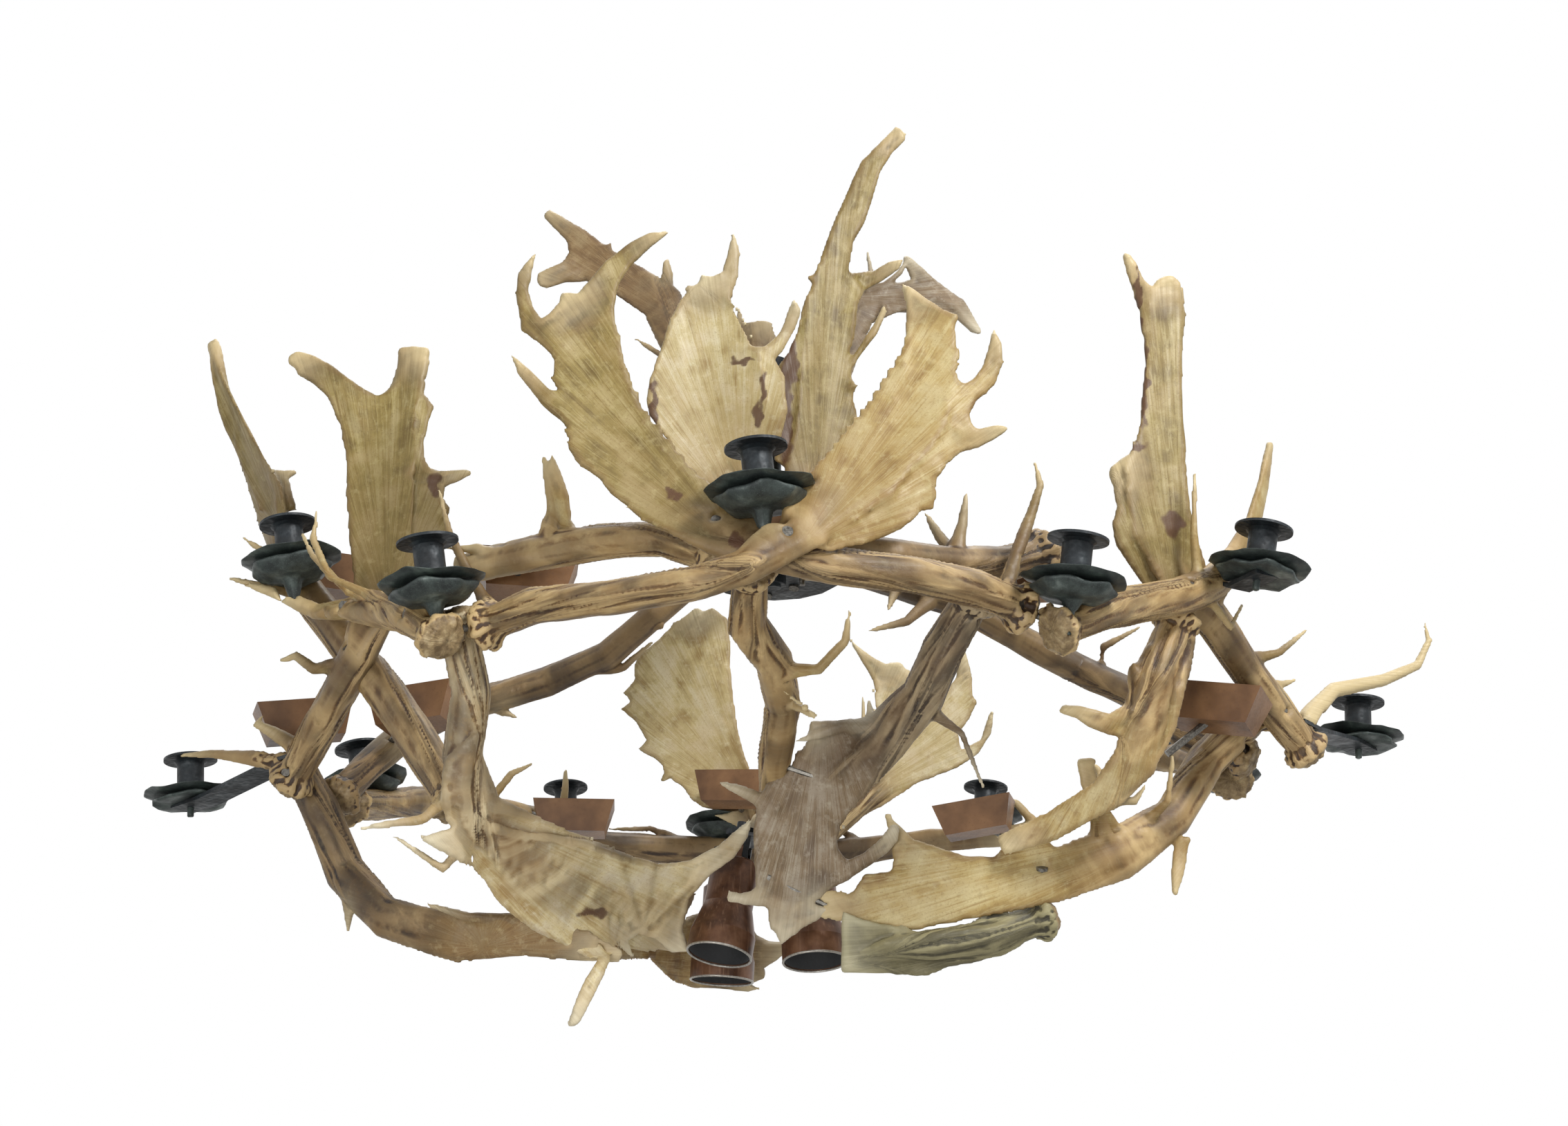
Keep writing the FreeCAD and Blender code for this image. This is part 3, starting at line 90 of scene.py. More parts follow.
def add(tree, kind, inputs=None, out=0, stops=(), **settings):
    """Adds a node with its settings, ramp stops and values or links, and gives one of its outputs."""
    node = tree.nodes.new("ShaderNode" + kind)
    for key, value in settings.items():
        setattr(node, key, value)
    if stops:
        band = node.color_ramp.elements
        for _ in range(len(stops) - len(band)):
            band.new(0.5)
        for slot, (place, shade) in zip(band, stops):
            slot.position = place
            slot.color = srgb(shade) if isinstance(shade, str) else (shade, shade, shade, 1)
    for key, value in (inputs or {}).items():
        if isinstance(value, bpy.types.NodeSocket):
            tree.links.new(value, node.inputs[key])
        else:
            node.inputs[key].default_value = srgb(value) if isinstance(value, str) else value
    return node.outputs[out]


def weighted(tree, total, *parts):
    """A number to which patterns are added, each times its weight."""
    for pattern, weight in parts:
        total = add(tree, "Math", {0: pattern, 1: weight, 2: total}, operation="MULTIPLY_ADD")
    return total


def laid_over(tree, under, colour, much, pattern, *stops):
    """A colour laid over another one where a pattern shows through its ramp."""
    shown = add(tree, "ValToRGB", {0: pattern}, stops=stops)
    amount = weighted(tree, 0.0, (shown, much))
    return add(tree, "Mix", {0: amount, 6: under, 7: colour}, 2, data_type="RGBA")


def streaked(tree, vector, stretch, detail=2.0, roughness=0.5):
    """Noise over a vector that is stretched by three factors."""
    lanes = add(tree, "VectorMath", {0: vector, 1: stretch}, operation="MULTIPLY")
    return add(tree, "TexNoise", {"Vector": lanes, "Scale": 1.0, "Detail": detail, "Roughness": roughness})


def surfaced(tree, shader, colour, rough, height, deepest, strength=0.5):
    """Gives a shader its colour, its roughness and its relief, whose depth is in millimetres."""
    bump = add(tree, "Bump", {"Height": height, "Distance": deepest * MM, "Strength": strength})
    for key, value in (("Base Color", colour), ("Roughness", rough), ("Normal", bump)):
        tree.links.new(value, shader.inputs[key])


def start(name):
    """A new material with its tree and its shader."""
    material = bpy.data.materials.new(name)
    material.use_nodes = True
    tree = material.node_tree
    return material, tree, tree.nodes["Principled BSDF"]


def antler_bone(name, beam, palm, tip, stain, streaks=1.0):
    """Shed antler: hard matt bone, brown and grooved on the beam, cream and veined on the palm."""
    material, tree, shader = start(name)
    beam_dark, beam_mid, beam_pale = beam
    palm_dark, palm_mid, palm_pale = palm
    flow, palm_place = [add(tree, "Attribute", out="Vector", attribute_name=n) for n in ("flow", "fan")]
    spread, point, ridge, burr, butt, mark = [add(tree, "Attribute", out="Fac", attribute_name=n)
                                              for n in ("spread", "point", "ridge", "burr", "butt", "mark")]
    place = add(tree, "TexCoord", out="Object")

    # grooves and streaks run along the beam, a few millimetres across and about 40 mm long
    groove = streaked(tree, flow, (6.0, 6.0, 24.0), 4.0, 0.6)
    # broad dark streaks, about 9 mm across and 90 mm long
    streak = streaked(tree, flow, (2.1, 2.1, 10.0))
    # on the palm hair lines fan out, with slower bands under them and a slow pattern for the veins
    fan = streaked(tree, palm_place, (420.0, 90.0, 9.0), 3.0, 0.6)
    band = streaked(tree, palm_place, (75.0, 60.0, 7.0))
    wander = streaked(tree, palm_place, (130.0, 60.0, 11.0), 2.5, 0.6)
    # mottling 35 mm across, blotches 12 mm, specks 2.5 mm
    mottle = add(tree, "TexNoise", {"Vector": place, "Scale": 28.0, "Detail": 3.0})
    blotch = add(tree, "TexNoise", {"Vector": place, "Scale": 85.0, "Detail": 4.0, "Roughness": 0.65})
    speck = add(tree, "TexNoise", {"Vector": place, "Scale": 400.0, "Roughness": 0.7})

    # the beam: ridges rubbed pale and painted with highlight, painted shade in the hollows, and dark streaks
    shaft = add(tree, "ValToRGB", {0: groove}, stops=((0.36, beam_dark), (0.49, beam_mid), (0.63, beam_pale)))
    # rubbed wear and painted highlight: the ridges of the beam are paled
    shaft = laid_over(tree, shaft, beam_pale, 0.65, ridge, (0.45, 0.0), (0.68, 1.0))
    # painted shade: the hollows of the beam are darkened
    shaft = laid_over(tree, shaft, beam_dark, 0.75, ridge, (0.32, 1.0), (0.50, 0.0))
    shaft = laid_over(tree, shaft, beam_dark, 0.7, streak, (0.40, 1.0), (0.54, 0.0))

    # the palm: bands and mottling, with thin pale veins where the slow pattern crosses its middle
    mixed = weighted(tree, 0.0, (fan, 0.2), (band, 0.28), (mottle, 0.52))
    plate = add(tree, "ValToRGB", {0: mixed}, stops=((0.37, palm_dark), (0.49, palm_mid), (0.62, palm_pale)))
    off_middle = add(tree, "Math", {0: weighted(tree, -0.5, (wander, 1.0))}, operation="ABSOLUTE")
    plate = laid_over(tree, plate, palm_pale, 0.4 * streaks, off_middle, (0.0, 1.0), (0.03, 0.0))
    plate = laid_over(tree, plate, palm_dark, 0.5 * streaks, fan, (0.30, 1.0), (0.38, 0.0))
    # darker where the palm leaves the beam, within about 250 mm of its spring
    far_out = weighted(tree, 0.0, (add(tree, "SeparateXYZ", {0: palm_place}, 2), 3.0))
    plate = laid_over(tree, plate, palm_dark, 0.55, far_out, (0.20, 1.0), (0.75, 0.0))
    plate = laid_over(tree, plate, beam_mid, 0.35, ridge, (0.62, 0.0), (0.80, 1.0))
    plate = laid_over(tree, plate, palm_dark, 0.45, speck, (0.56, 0.0), (0.70, 1.0))

    body = add(tree, "Mix", {0: spread, 6: shaft, 7: plate}, 2, data_type="RGBA")
    body = laid_over(tree, body, stain, 0.32, mottle, (0.42, 0.0), (0.66, 1.0))
    much = weighted(tree, 0.12, (spread, 0.25))
    body = laid_over(tree, body, palm_pale, much, blotch, (0.55, 0.0), (0.72, 1.0))
    body = laid_over(tree, body, palm_dark, 0.35, blotch, (0.28, 1.0), (0.42, 0.0))
    # tines are rubbed pale towards their points
    rubbed = weighted(tree, 0.35, (fan, 1.0))
    worn = add(tree, "Math", {0: point, 1: rubbed}, operation="MULTIPLY", use_clamp=True)
    body = add(tree, "Mix", {0: worn, 6: body, 7: tip}, 2, data_type="RGBA")
    # old wounds and stains, and painted shade where a strip lies in shadow
    much = weighted(tree, 0.0, (mark, 0.9))
    uneven = weighted(tree, -1.0, (mark, 1.0), (blotch, 1.3), (fan, 0.5))
    body = laid_over(tree, body, "#4E2C14", much, uneven, (0.30, 0.0), (0.72, 1.0))
    # the pearled coronet is dark, with painted shade between the pearls and their tops rubbed pale and
    # painted with highlight, and its sawn butt is tan
    pearls = add(tree, "ValToRGB", {0: ridge}, stops=((0.40, beam_dark), (0.56, beam_mid), (0.72, beam_pale)))
    much = weighted(tree, 0.0, (burr, 0.85))
    body = add(tree, "Mix", {0: much, 6: body, 7: pearls}, 2, data_type="RGBA")
    sawn = add(tree, "ValToRGB", {0: blotch}, stops=((0.35, "#6E593B"), (0.55, "#9A835D"), (0.7, "#BBA67E")))
    body = add(tree, "Mix", {0: butt, 6: body, 7: sawn}, 2, data_type="RGBA")
    rough = add(tree, "ValToRGB", {0: fan}, stops=((0.3, 0.62), (0.7, 0.44)))

    # relief: grooves on the beam, finer fanning ribs on the palm, and pores
    beam_deep = weighted(tree, 1.0, (spread, -1.0))
    palm_deep = weighted(tree, 0.0, (spread, 0.18))
    height = weighted(tree, 0.0, (groove, beam_deep), (fan, palm_deep), (speck, 0.12))
    surfaced(tree, shader, body, rough, height, 1.6, 0.9)
    return material


def forged_iron(name, dark, mid, worn, scale, gloss):
    """Iron sheet or bar, hammered and dark with wax and age: dull, with rubbed high places."""
    material, tree, shader = start(name)
    place = add(tree, "TexCoord", out="Object")
    patch = add(tree, "TexNoise", {"Vector": place, "Scale": 45.0, "Detail": 4.0, "Roughness": 0.6})
    cells = add(tree, "TexVoronoi", {"Vector": place, "Scale": scale}, feature="SMOOTH_F1")
    grit = add(tree, "TexNoise", {"Vector": place, "Scale": 700.0, "Detail": 3.0})
    colour = add(tree, "ValToRGB", {0: patch}, stops=((0.36, dark), (0.55, mid), (0.74, worn)))
    colour = laid_over(tree, colour, worn, 0.35, grit, (0.55, 0.0), (0.75, 1.0))
    rough = add(tree, "ValToRGB", {0: patch}, stops=((0.3, gloss + 0.12), (0.7, gloss - 0.08)))
    height = weighted(tree, 0.0, (cells, 1.0), (grit, 0.08))
    surfaced(tree, shader, colour, rough, height, 1.5, 0.6)
    shader.inputs["Metallic"].default_value = 0.25
    return material


def brown_sheet(name):
    """Copper-brown lacquered sheet metal of the light boxes: smooth, satin, warm, a little scuffed."""
    material, tree, shader = start(name)
    place = add(tree, "TexCoord", out="Object")
    cloud = add(tree, "TexNoise", {"Vector": place, "Scale": 22.0, "Detail": 3.0})
    scuff = add(tree, "TexNoise", {"Vector": place, "Scale": 260.0, "Detail": 4.0, "Roughness": 0.7})
    browns = (0.32, "#5F4128"), (0.52, "#7C593A"), (0.72, "#916B48")
    colour = add(tree, "ValToRGB", {0: cloud}, stops=browns)
    colour = laid_over(tree, colour, "#553823", 0.4, scuff, (0.58, 0.0), (0.70, 1.0))
    rough = add(tree, "ValToRGB", {0: scuff}, stops=((0.35, 0.36), (0.65, 0.5)))
    surfaced(tree, shader, colour, rough, scuff, 0.2, 0.4)
    return material


def aged_copper(name):
    """Copper tube gone brown: dark satin patina with lighter rubbed bands and a few water marks."""
    material, tree, shader = start(name)
    place = add(tree, "TexCoord", out="Object")
    cloud = add(tree, "TexNoise", {"Vector": place, "Scale": 30.0, "Detail": 4.0, "Roughness": 0.6})
    # water marks run down the barrel, 4 mm across and 60 mm long
    runs = streaked(tree, place, (250.0, 250.0, 16.0), 3.0)
    browns = (0.34, "#4C3223"), (0.52, "#6E4C36"), (0.70, "#876249")
    colour = add(tree, "ValToRGB", {0: cloud}, stops=browns)
    colour = laid_over(tree, colour, "#96745A", 0.5, runs, (0.55, 0.0), (0.72, 1.0))
    rough = add(tree, "ValToRGB", {0: runs}, stops=((0.3, 0.30), (0.7, 0.44)))
    surfaced(tree, shader, colour, rough, cloud, 0.6)
    shader.inputs["Metallic"].default_value = 0.35
    return material


def plain(name, low, high, scale, rough, metallic=0.0):
    """A finish with one fine even grain: steel, glass, lamp black, floor."""
    material, tree, shader = start(name)
    place = add(tree, "TexCoord", out="Object")
    even = add(tree, "TexNoise", {"Vector": place, "Scale": scale, "Detail": 4.0, "Roughness": 0.65})
    colour = add(tree, "ValToRGB", {0: even}, stops=((0.35, low), (0.65, high)))
    rough = add(tree, "ValToRGB", {0: even}, stops=((0.3, rough - 0.06), (0.7, rough + 0.08)))
    surfaced(tree, shader, colour, rough, even, 0.2)
    shader.inputs["Metallic"].default_value = metallic
    return material


# each antler finish: dark, middle and pale of the beam and of the palm, then worn points and stain
GOLD = antler_bone("fallow_antler_golden", ("#38230F", "#7C5A30", "#C9AD7B"),
                   ("#8A6C3A", "#B49B61", "#D8CA98"), "#D6C294", "#94703C")
# a darker copy of the golden finish: partly the antlers' own tone, partly painted shade for antlers that lie
# in shadow
SHADED_AMBER = antler_bone("fallow_antler_amber", ("#321F0D", "#6E4F29", "#C4A878"),
                    ("#6A5628", "#95824A", "#C2B27F"), "#D6C294", "#805E30")
PALE = antler_bone("fallow_antler_bleached", ("#402B17", "#8F7046", "#DCC9A0"),
                   ("#AE8F58", "#E0CF9E", "#F4ECCF"), "#E6DABA", "#B08C58", 0.8)
DUSK = antler_bone("fallow_antler_dark_beam", ("#1D130B", "#4A3520", "#A48A62"),
                   ("#7D5C31", "#B2925B", "#DCC998"), "#D2C09A", "#6B4E2C")
CREAM = antler_bone("fallow_antler_cream", ("#402B17", "#85653B", "#CDB486"),
                    ("#9E8450", "#CAB884", "#E8DEBA"), "#DDCDA4", "#AC8850", 0.8)
UMBER = antler_bone("fallow_antler_umber", ("#241810", "#553D25", "#A0855B"),
                    ("#634A2C", "#8C7049", "#B79F74"), "#C4B088", "#5A432A")
SMOKE = antler_bone("fallow_antler_weathered", ("#2C2017", "#625038", "#AE9A78"),
                    ("#6C573E", "#958062", "#D3C9B4"), "#D2C6AA", "#7A5C3E")
MOSS = antler_bone("fallow_antler_lichen_grey", ("#393423", "#686142", "#A29972"),
                   ("#5A5439", "#817956", "#B3AA86"), "#C1B998", "#4E4933")
IRON = forged_iron("forged_iron_black", "#15181B", "#20262A", "#3A4144", 160.0, 0.48)
SLATE = forged_iron("hammered_iron_slate", "#242A2A", "#39423F", "#5F6A63", 75.0, 0.44)
VERDIGRIS = forged_iron("beaten_iron_green_grey", "#262C2B", "#414A47", "#707A75", 60.0, 0.46)
SHEET = brown_sheet("lacquered_brown_sheet")
COPPER = aged_copper("aged_copper_tube")
RIM = plain("spun_steel_rim", "#8E8A84", "#BDB7AD", 300.0, 0.34, 0.6)
STEEL = plain("zinc_plated_screw", "#55524D", "#8A867E", 350.0, 0.4, 0.8)
GLASS = plain("frosted_lamp_glass", "#B9B6AE", "#DAD7CE", 200.0, 0.3)
DARK = plain("lamp_holder_black", "#0F1012", "#1B1D20", 250.0, 0.5)


# ---- antlers ---------------------------------------------------------------------
# each antler's finish, its butt and a point a little way up its beam, in the ring's frame
ANTLERS = {
    "front_left_palm": (SHADED_AMBER, (280, -490, -25), (235, -520, -15)),
    "front_right_palm": (GOLD, (-295, -490, -45), (-245, -520, -35)),
    "left_palm": (SHADED_AMBER, (-575, -150, -120), (-545, -185, -80)),
    "left_spike": (SHADED_AMBER, (-350, -345, -200), (-390, -315, -135)),
    "left_fan": (GOLD, (-350, -500, -60), (-375, -480, -35)),
    "right_palm": (SHADED_AMBER, (670, -130, -75), (635, -160, -40)),
    "right_spike": (GOLD, (330, -495, -50), (375, -465, -20)),
    "right_inner": (UMBER, (600, -85, -75), (540, -65, -40)),
    "left_inner": (UMBER, (-530, -75, -120), (-475, 10, -20)),
    "centre_drop": (GOLD, (-10, -545, -10), (-15, -475, -40)),
    "back_left_palm": (GOLD, (-50, -535, 15), (-105, -505, 50)),
    "back_right_palm": (DUSK, (315, -420, 65), (275, -440, 45)),
    "crown_front": (CREAM, (-25, -10, 255), (-35, -25, 280)),
    "crown_spike": (SHADED_AMBER, (40, 20, 255), (50, 25, 290)),
    "crown_back_left": (UMBER, (-45, 90, 250), (-60, 110, 320)),
    "crown_back_right": (SMOKE, (45, 100, 250), (50, 115, 325)),
    "crown_back": (UMBER, (0, 140, 255), (-10, 170, 345)),
    "bowl_left": (PALE, (-335, -455, -35), (-320, -435, -105)),
    "bowl_lower_left": (DUSK, (-580, -105, -95), (-550, -110, -145)),
    "bowl_front": (SMOKE, (235, -465, -10), (205, -410, -45)),
    "bowl_right": (GOLD, (615, -120, -30), (550, -120, -90)),
    "bowl_small_right": (GOLD, (485, -320, 15), (455, -330, -55)),
    "bowl_bottom": (MOSS, (325, -185, -305), (265, -200, -330)),
    "back_left_drop": (CREAM, (10, 560, -25), (-10, 550, 20)),
    "back_right_drop": (CREAM, (75, 550, -20), (130, 540, 35)),
    "back_lower": (UMBER, (-330, 520, -20), (-245, 560, -25)),
    "back_left_ring": (GOLD, (-530, -20, -120), (-520, 105, -85)),
    "back_right_ring": (GOLD, (595, -40, -90), (600, 95, -45)),
}


# outlines of the palms and flat tines as they are seen in the photograph, in its pixels, traced
TRACED = {
    "front_left_palm": [
        [(1040, 800), (980, 772), (920, 742), (885, 715), (865, 690), (840, 672), (822, 647),
         (838, 649), (828, 620), (785, 585), (750, 540), (741, 516), (765, 535), (795, 565), (810, 572),
         (815, 560), (810, 540), (795, 510), (775, 485), (757, 465), (747, 430), (750, 395), (771, 367),
         (767, 395), (762, 420), (770, 445), (782, 462), (795, 455), (810, 440), (815, 425), (837, 427),
         (855, 405), (875, 377), (910, 352), (940, 337), (967, 335), (940, 355), (915, 380), (895, 410),
         (887, 440), (890, 475), (900, 520), (912, 560), (930, 605), (955, 645), (985, 675),
         (1015, 700), (1040, 720), (1070, 750), (1085, 770)],
    ],
    "front_right_palm": [
        [(1160, 785), (1200, 795), (1250, 787), (1290, 770), (1320, 752), (1332, 740), (1351, 735),
         (1351, 715), (1355, 690), (1370, 670), (1392, 652), (1415, 645), (1435, 635), (1456, 622),
         (1455, 617), (1440, 616), (1415, 622), (1405, 615), (1402, 600), (1412, 580), (1440, 555),
         (1450, 525), (1447, 495), (1437, 477), (1431, 505), (1422, 530), (1410, 547), (1395, 555),
         (1382, 545), (1376, 520), (1375, 495), (1382, 470), (1385, 455), (1365, 450), (1335, 430),
         (1311, 412), (1312, 450), (1310, 485), (1305, 520), (1290, 570), (1270, 615), (1245, 655),
         (1215, 695), (1185, 730), (1155, 755)],
    ],
    "left_palm": [
        [(512, 845), (508, 790), (505, 740), (502, 700), (498, 650), (492, 615), (484, 600), (478, 585),
         (470, 570), (455, 555), (440, 545), (430, 538), (428, 530), (418, 525), (420, 515), (430, 510),
         (450, 515), (480, 530), (500, 545), (530, 565), (545, 572), (560, 565), (572, 550), (578, 530),
         (577, 506), (595, 503), (618, 505), (618, 525), (612, 550), (612, 570), (625, 590), (620, 610),
         (612, 640), (612, 665), (620, 678), (635, 683), (675, 680), (678, 686), (660, 695), (643, 702),
         (640, 722), (648, 735), (645, 755), (650, 768), (640, 785), (630, 800), (600, 830),
         (540, 845)],
    ],
    "left_spike": [
        [(305, 500), (311, 490), (316, 500), (325, 540), (335, 575), (345, 595), (360, 635), (375, 665),
         (390, 680), (400, 682), (425, 680), (427, 683), (415, 692), (420, 720), (428, 738), (375, 738),
         (370, 725), (355, 690), (340, 650), (325, 620), (315, 590), (307, 550), (304, 520)],
    ],
    "right_palm": [
        [(1625, 368), (1633, 367), (1643, 380), (1652, 400), (1660, 412), (1670, 418), (1680, 405),
         (1693, 400), (1705, 408), (1706, 425), (1710, 450), (1708, 500), (1708, 560), (1711, 600),
         (1714, 650), (1717, 700), (1722, 740), (1733, 780), (1742, 820), (1755, 860), (1765, 900),
         (1680, 885), (1665, 860), (1640, 825), (1625, 800), (1615, 785), (1612, 760), (1617, 730),
         (1612, 700), (1608, 680), (1620, 670), (1645, 652), (1650, 620), (1655, 570), (1658, 530),
         (1656, 490), (1650, 450), (1640, 420), (1632, 395)],
    ],
    "back_left_drop": [
        [(1030, 880), (1052, 895), (1055, 930), (1057, 970), (1060, 1010), (1065, 1050), (1075, 1090),
         (1085, 1120), (1090, 1160), (1085, 1168), (1050, 1160), (1010, 1155), (985, 1135), (970, 1125),
         (960, 1130), (963, 1110), (945, 1095), (925, 1085), (935, 1070), (920, 1045), (900, 1025),
         (912, 1015), (905, 1003), (920, 995), (918, 965), (925, 950), (955, 925), (965, 915),
         (985, 925), (1000, 910), (1010, 890)],
    ],
    "back_left_palm": [
        [(797, 655), (812, 690), (822, 720), (825, 750), (832, 765), (860, 768), (790, 800), (797, 780),
         (800, 750), (797, 710), (795, 680)],
    ],
    "back_right_drop": [
        [(1230, 925), (1250, 945), (1280, 962), (1300, 960), (1320, 980), (1340, 1000), (1370, 1000),
         (1385, 980), (1388, 950), (1395, 940), (1405, 980), (1408, 1010), (1413, 1015), (1400, 1040),
         (1385, 1060), (1390, 1085), (1420, 1070), (1433, 1030), (1437, 1030), (1433, 1060),
         (1415, 1090), (1385, 1110), (1320, 1135), (1260, 1155), (1215, 1172), (1200, 1150),
         (1268, 1035), (1268, 1000), (1262, 980), (1250, 960)],
    ],
    "crown_front": [
        [(1060, 337), (1066, 365), (1060, 395), (1056, 430), (1057, 470), (1065, 495), (1080, 502),
         (1105, 502), (1125, 485), (1142, 460), (1151, 436), (1157, 450), (1150, 475), (1135, 500),
         (1120, 520), (1135, 545), (1138, 595), (1128, 632), (1110, 640), (1100, 690), (1030, 690),
         (1000, 670), (960, 630), (940, 600), (935, 580), (940, 550), (950, 520), (960, 495),
         (970, 460), (985, 435), (1010, 412), (1020, 400), (1030, 402), (1045, 395), (1054, 365)],
    ],
    "crown_spike": [
        [(1300, 186), (1309, 200), (1290, 219), (1272, 250), (1262, 285), (1250, 320), (1232, 350),
         (1217, 380), (1240, 405), (1260, 395), (1285, 380), (1306, 375), (1300, 387), (1275, 405),
         (1252, 420), (1240, 440), (1237, 465), (1235, 485), (1225, 525), (1245, 498), (1265, 468),
         (1278, 442), (1282, 450), (1268, 482), (1247, 510), (1227, 540), (1235, 555), (1230, 575),
         (1237, 595), (1244, 620), (1252, 650), (1215, 695), (1155, 690), (1122, 665), (1124, 620),
         (1124, 575), (1126, 530), (1140, 510), (1152, 480), (1160, 450), (1175, 410), (1172, 401),
         (1185, 390), (1202, 345), (1225, 305), (1247, 260), (1272, 215)],
    ],
    "crown_back_left": [
        [(794, 308), (788, 312), (802, 327), (820, 345), (822, 365), (812, 380), (790, 390), (779, 397),
         (780, 410), (790, 415), (815, 407), (850, 405), (900, 427), (920, 440), (960, 457), (965, 472),
         (981, 432), (972, 412), (970, 395), (963, 376), (960, 380), (957, 405), (935, 402), (915, 390),
         (885, 365), (877, 354), (860, 355), (837, 332), (825, 327), (800, 308)],
    ],
    "crown_back_right": [
        [(1255, 410), (1280, 410), (1305, 410), (1320, 405), (1307, 372), (1315, 372), (1335, 390),
         (1365, 420), (1395, 445), (1412, 480), (1407, 480), (1385, 460), (1355, 450), (1310, 450),
         (1270, 455), (1237, 467)],
    ],
    "bowl_left": [
        [(645, 1100), (640, 1150), (645, 1180), (655, 1200), (608, 1213), (640, 1230), (660, 1240),
         (680, 1255), (700, 1275), (715, 1300), (735, 1320), (770, 1345), (820, 1370), (850, 1388),
         (866, 1384), (845, 1420), (833, 1450), (822, 1485), (835, 1481), (852, 1450), (872, 1412),
         (893, 1368), (915, 1385), (908, 1360), (925, 1348), (950, 1355), (970, 1375), (995, 1375),
         (985, 1345), (995, 1300), (1030, 1260), (1060, 1240), (1080, 1210), (1088, 1185), (1075, 1195),
         (1040, 1225), (1000, 1245), (950, 1250), (900, 1240), (850, 1220), (800, 1210), (750, 1205),
         (700, 1190), (680, 1170), (675, 1140), (680, 1100), (690, 1060)],
    ],
    "bowl_lower_left": [
        [(870, 1388), (840, 1350), (900, 1335), (950, 1335), (990, 1330), (1030, 1320), (1080, 1330),
         (1092, 1356), (1112, 1367), (1140, 1366), (1137, 1376), (1101, 1400), (1105, 1412), (1078, 1424),
         (1099, 1433), (1072, 1431), (1035, 1427), (1000, 1427), (977, 1421), (960, 1407), (940, 1388)],
    ],
    "bowl_front": [
        [(1175, 1045), (1165, 1090), (1140, 1115), (1110, 1135), (1098, 1160), (1090, 1200),
         (1092, 1240), (1096, 1290), (1052, 1298), (1055, 1303), (1110, 1310), (1120, 1330),
         (1125, 1350), (1130, 1365), (1150, 1345), (1175, 1330), (1205, 1315), (1170, 1310),
         (1200, 1285), (1230, 1270), (1260, 1250), (1280, 1235), (1297, 1215), (1300, 1195),
         (1290, 1195), (1275, 1215), (1250, 1235), (1225, 1245), (1212, 1230), (1210, 1200),
         (1215, 1170), (1240, 1140), (1270, 1105), (1300, 1075), (1330, 1060), (1280, 1050),
         (1225, 1045)],
    ],
    "bowl_right": [
        [(1690, 1215), (1660, 1235), (1640, 1250), (1600, 1265), (1550, 1275), (1500, 1278),
         (1450, 1290), (1410, 1310), (1380, 1330), (1350, 1338), (1320, 1345), (1290, 1340),
         (1300, 1330), (1280, 1315), (1250, 1305), (1230, 1300), (1250, 1265), (1290, 1260),
         (1295, 1230), (1280, 1178), (1300, 1195), (1320, 1215), (1350, 1225), (1400, 1240),
         (1440, 1240), (1460, 1220), (1480, 1200), (1495, 1190), (1510, 1195), (1515, 1215),
         (1530, 1230), (1560, 1230), (1575, 1215), (1580, 1200), (1575, 1170), (1565, 1130),
         (1560, 1100), (1585, 1100), (1580, 1110), (1590, 1140), (1605, 1170), (1620, 1195),
         (1640, 1205), (1660, 1200)],
        [(1722, 1210), (1715, 1250), (1702, 1295), (1697, 1290), (1697, 1250), (1700, 1212)],
    ],
    "bowl_small_right": [
        [(1663, 935), (1730, 920), (1722, 960), (1712, 1000), (1700, 1050), (1680, 1090), (1655, 1120),
         (1640, 1135), (1605, 1135), (1620, 1115), (1635, 1090), (1640, 1068), (1600, 1060),
         (1575, 1050), (1560, 1038), (1535, 1030), (1537, 1022), (1560, 1022), (1595, 1030),
         (1610, 1035), (1625, 1030), (1640, 1005), (1635, 985), (1638, 965), (1650, 960)],
    ],
    "bowl_bottom": [
        [(1220, 1405), (1280, 1405), (1340, 1410), (1370, 1395), (1410, 1388), (1450, 1378),
         (1475, 1365), (1485, 1350), (1535, 1335), (1500, 1335), (1497, 1320), (1490, 1315),
         (1480, 1335), (1450, 1345), (1455, 1310), (1430, 1310), (1420, 1330), (1400, 1345),
         (1390, 1340), (1400, 1360), (1390, 1370), (1350, 1365), (1320, 1350), (1280, 1340),
         (1240, 1330), (1220, 1320)],
    ],
}
# where the fine lines of each palm spring from, in the photograph
SPRINGS = {
    "front_left_palm": (1085, 815), "front_right_palm": (1150, 800), "left_palm": (560, 890),
    "left_spike": (420, 790), "right_palm": (1715, 960), "back_left_drop": (1105, 1185),
    "back_right_drop": (1205, 1175), "crown_front": (1075, 745), "crown_spike": (1180, 760),
    "crown_back_left": (1010, 480), "crown_back_right": (1200, 430), "bowl_left": (570, 1120),
    "bowl_front": (1190, 1000), "bowl_right": (1760, 1180), "bowl_small_right": (1710, 880),
    "bowl_bottom": (1560, 1340), "bowl_lower_left": (700, 1370),
}
# a palm that turns away behind the downlights: from where, how fast (mm a pixel) and how far back
RECEDES = {"bowl_lower_left": (855, 1.9, 300)}
# a palm whose flat bone stands this far (mm) in front of the middle of its solid
NEARER = {"bowl_left": 16}
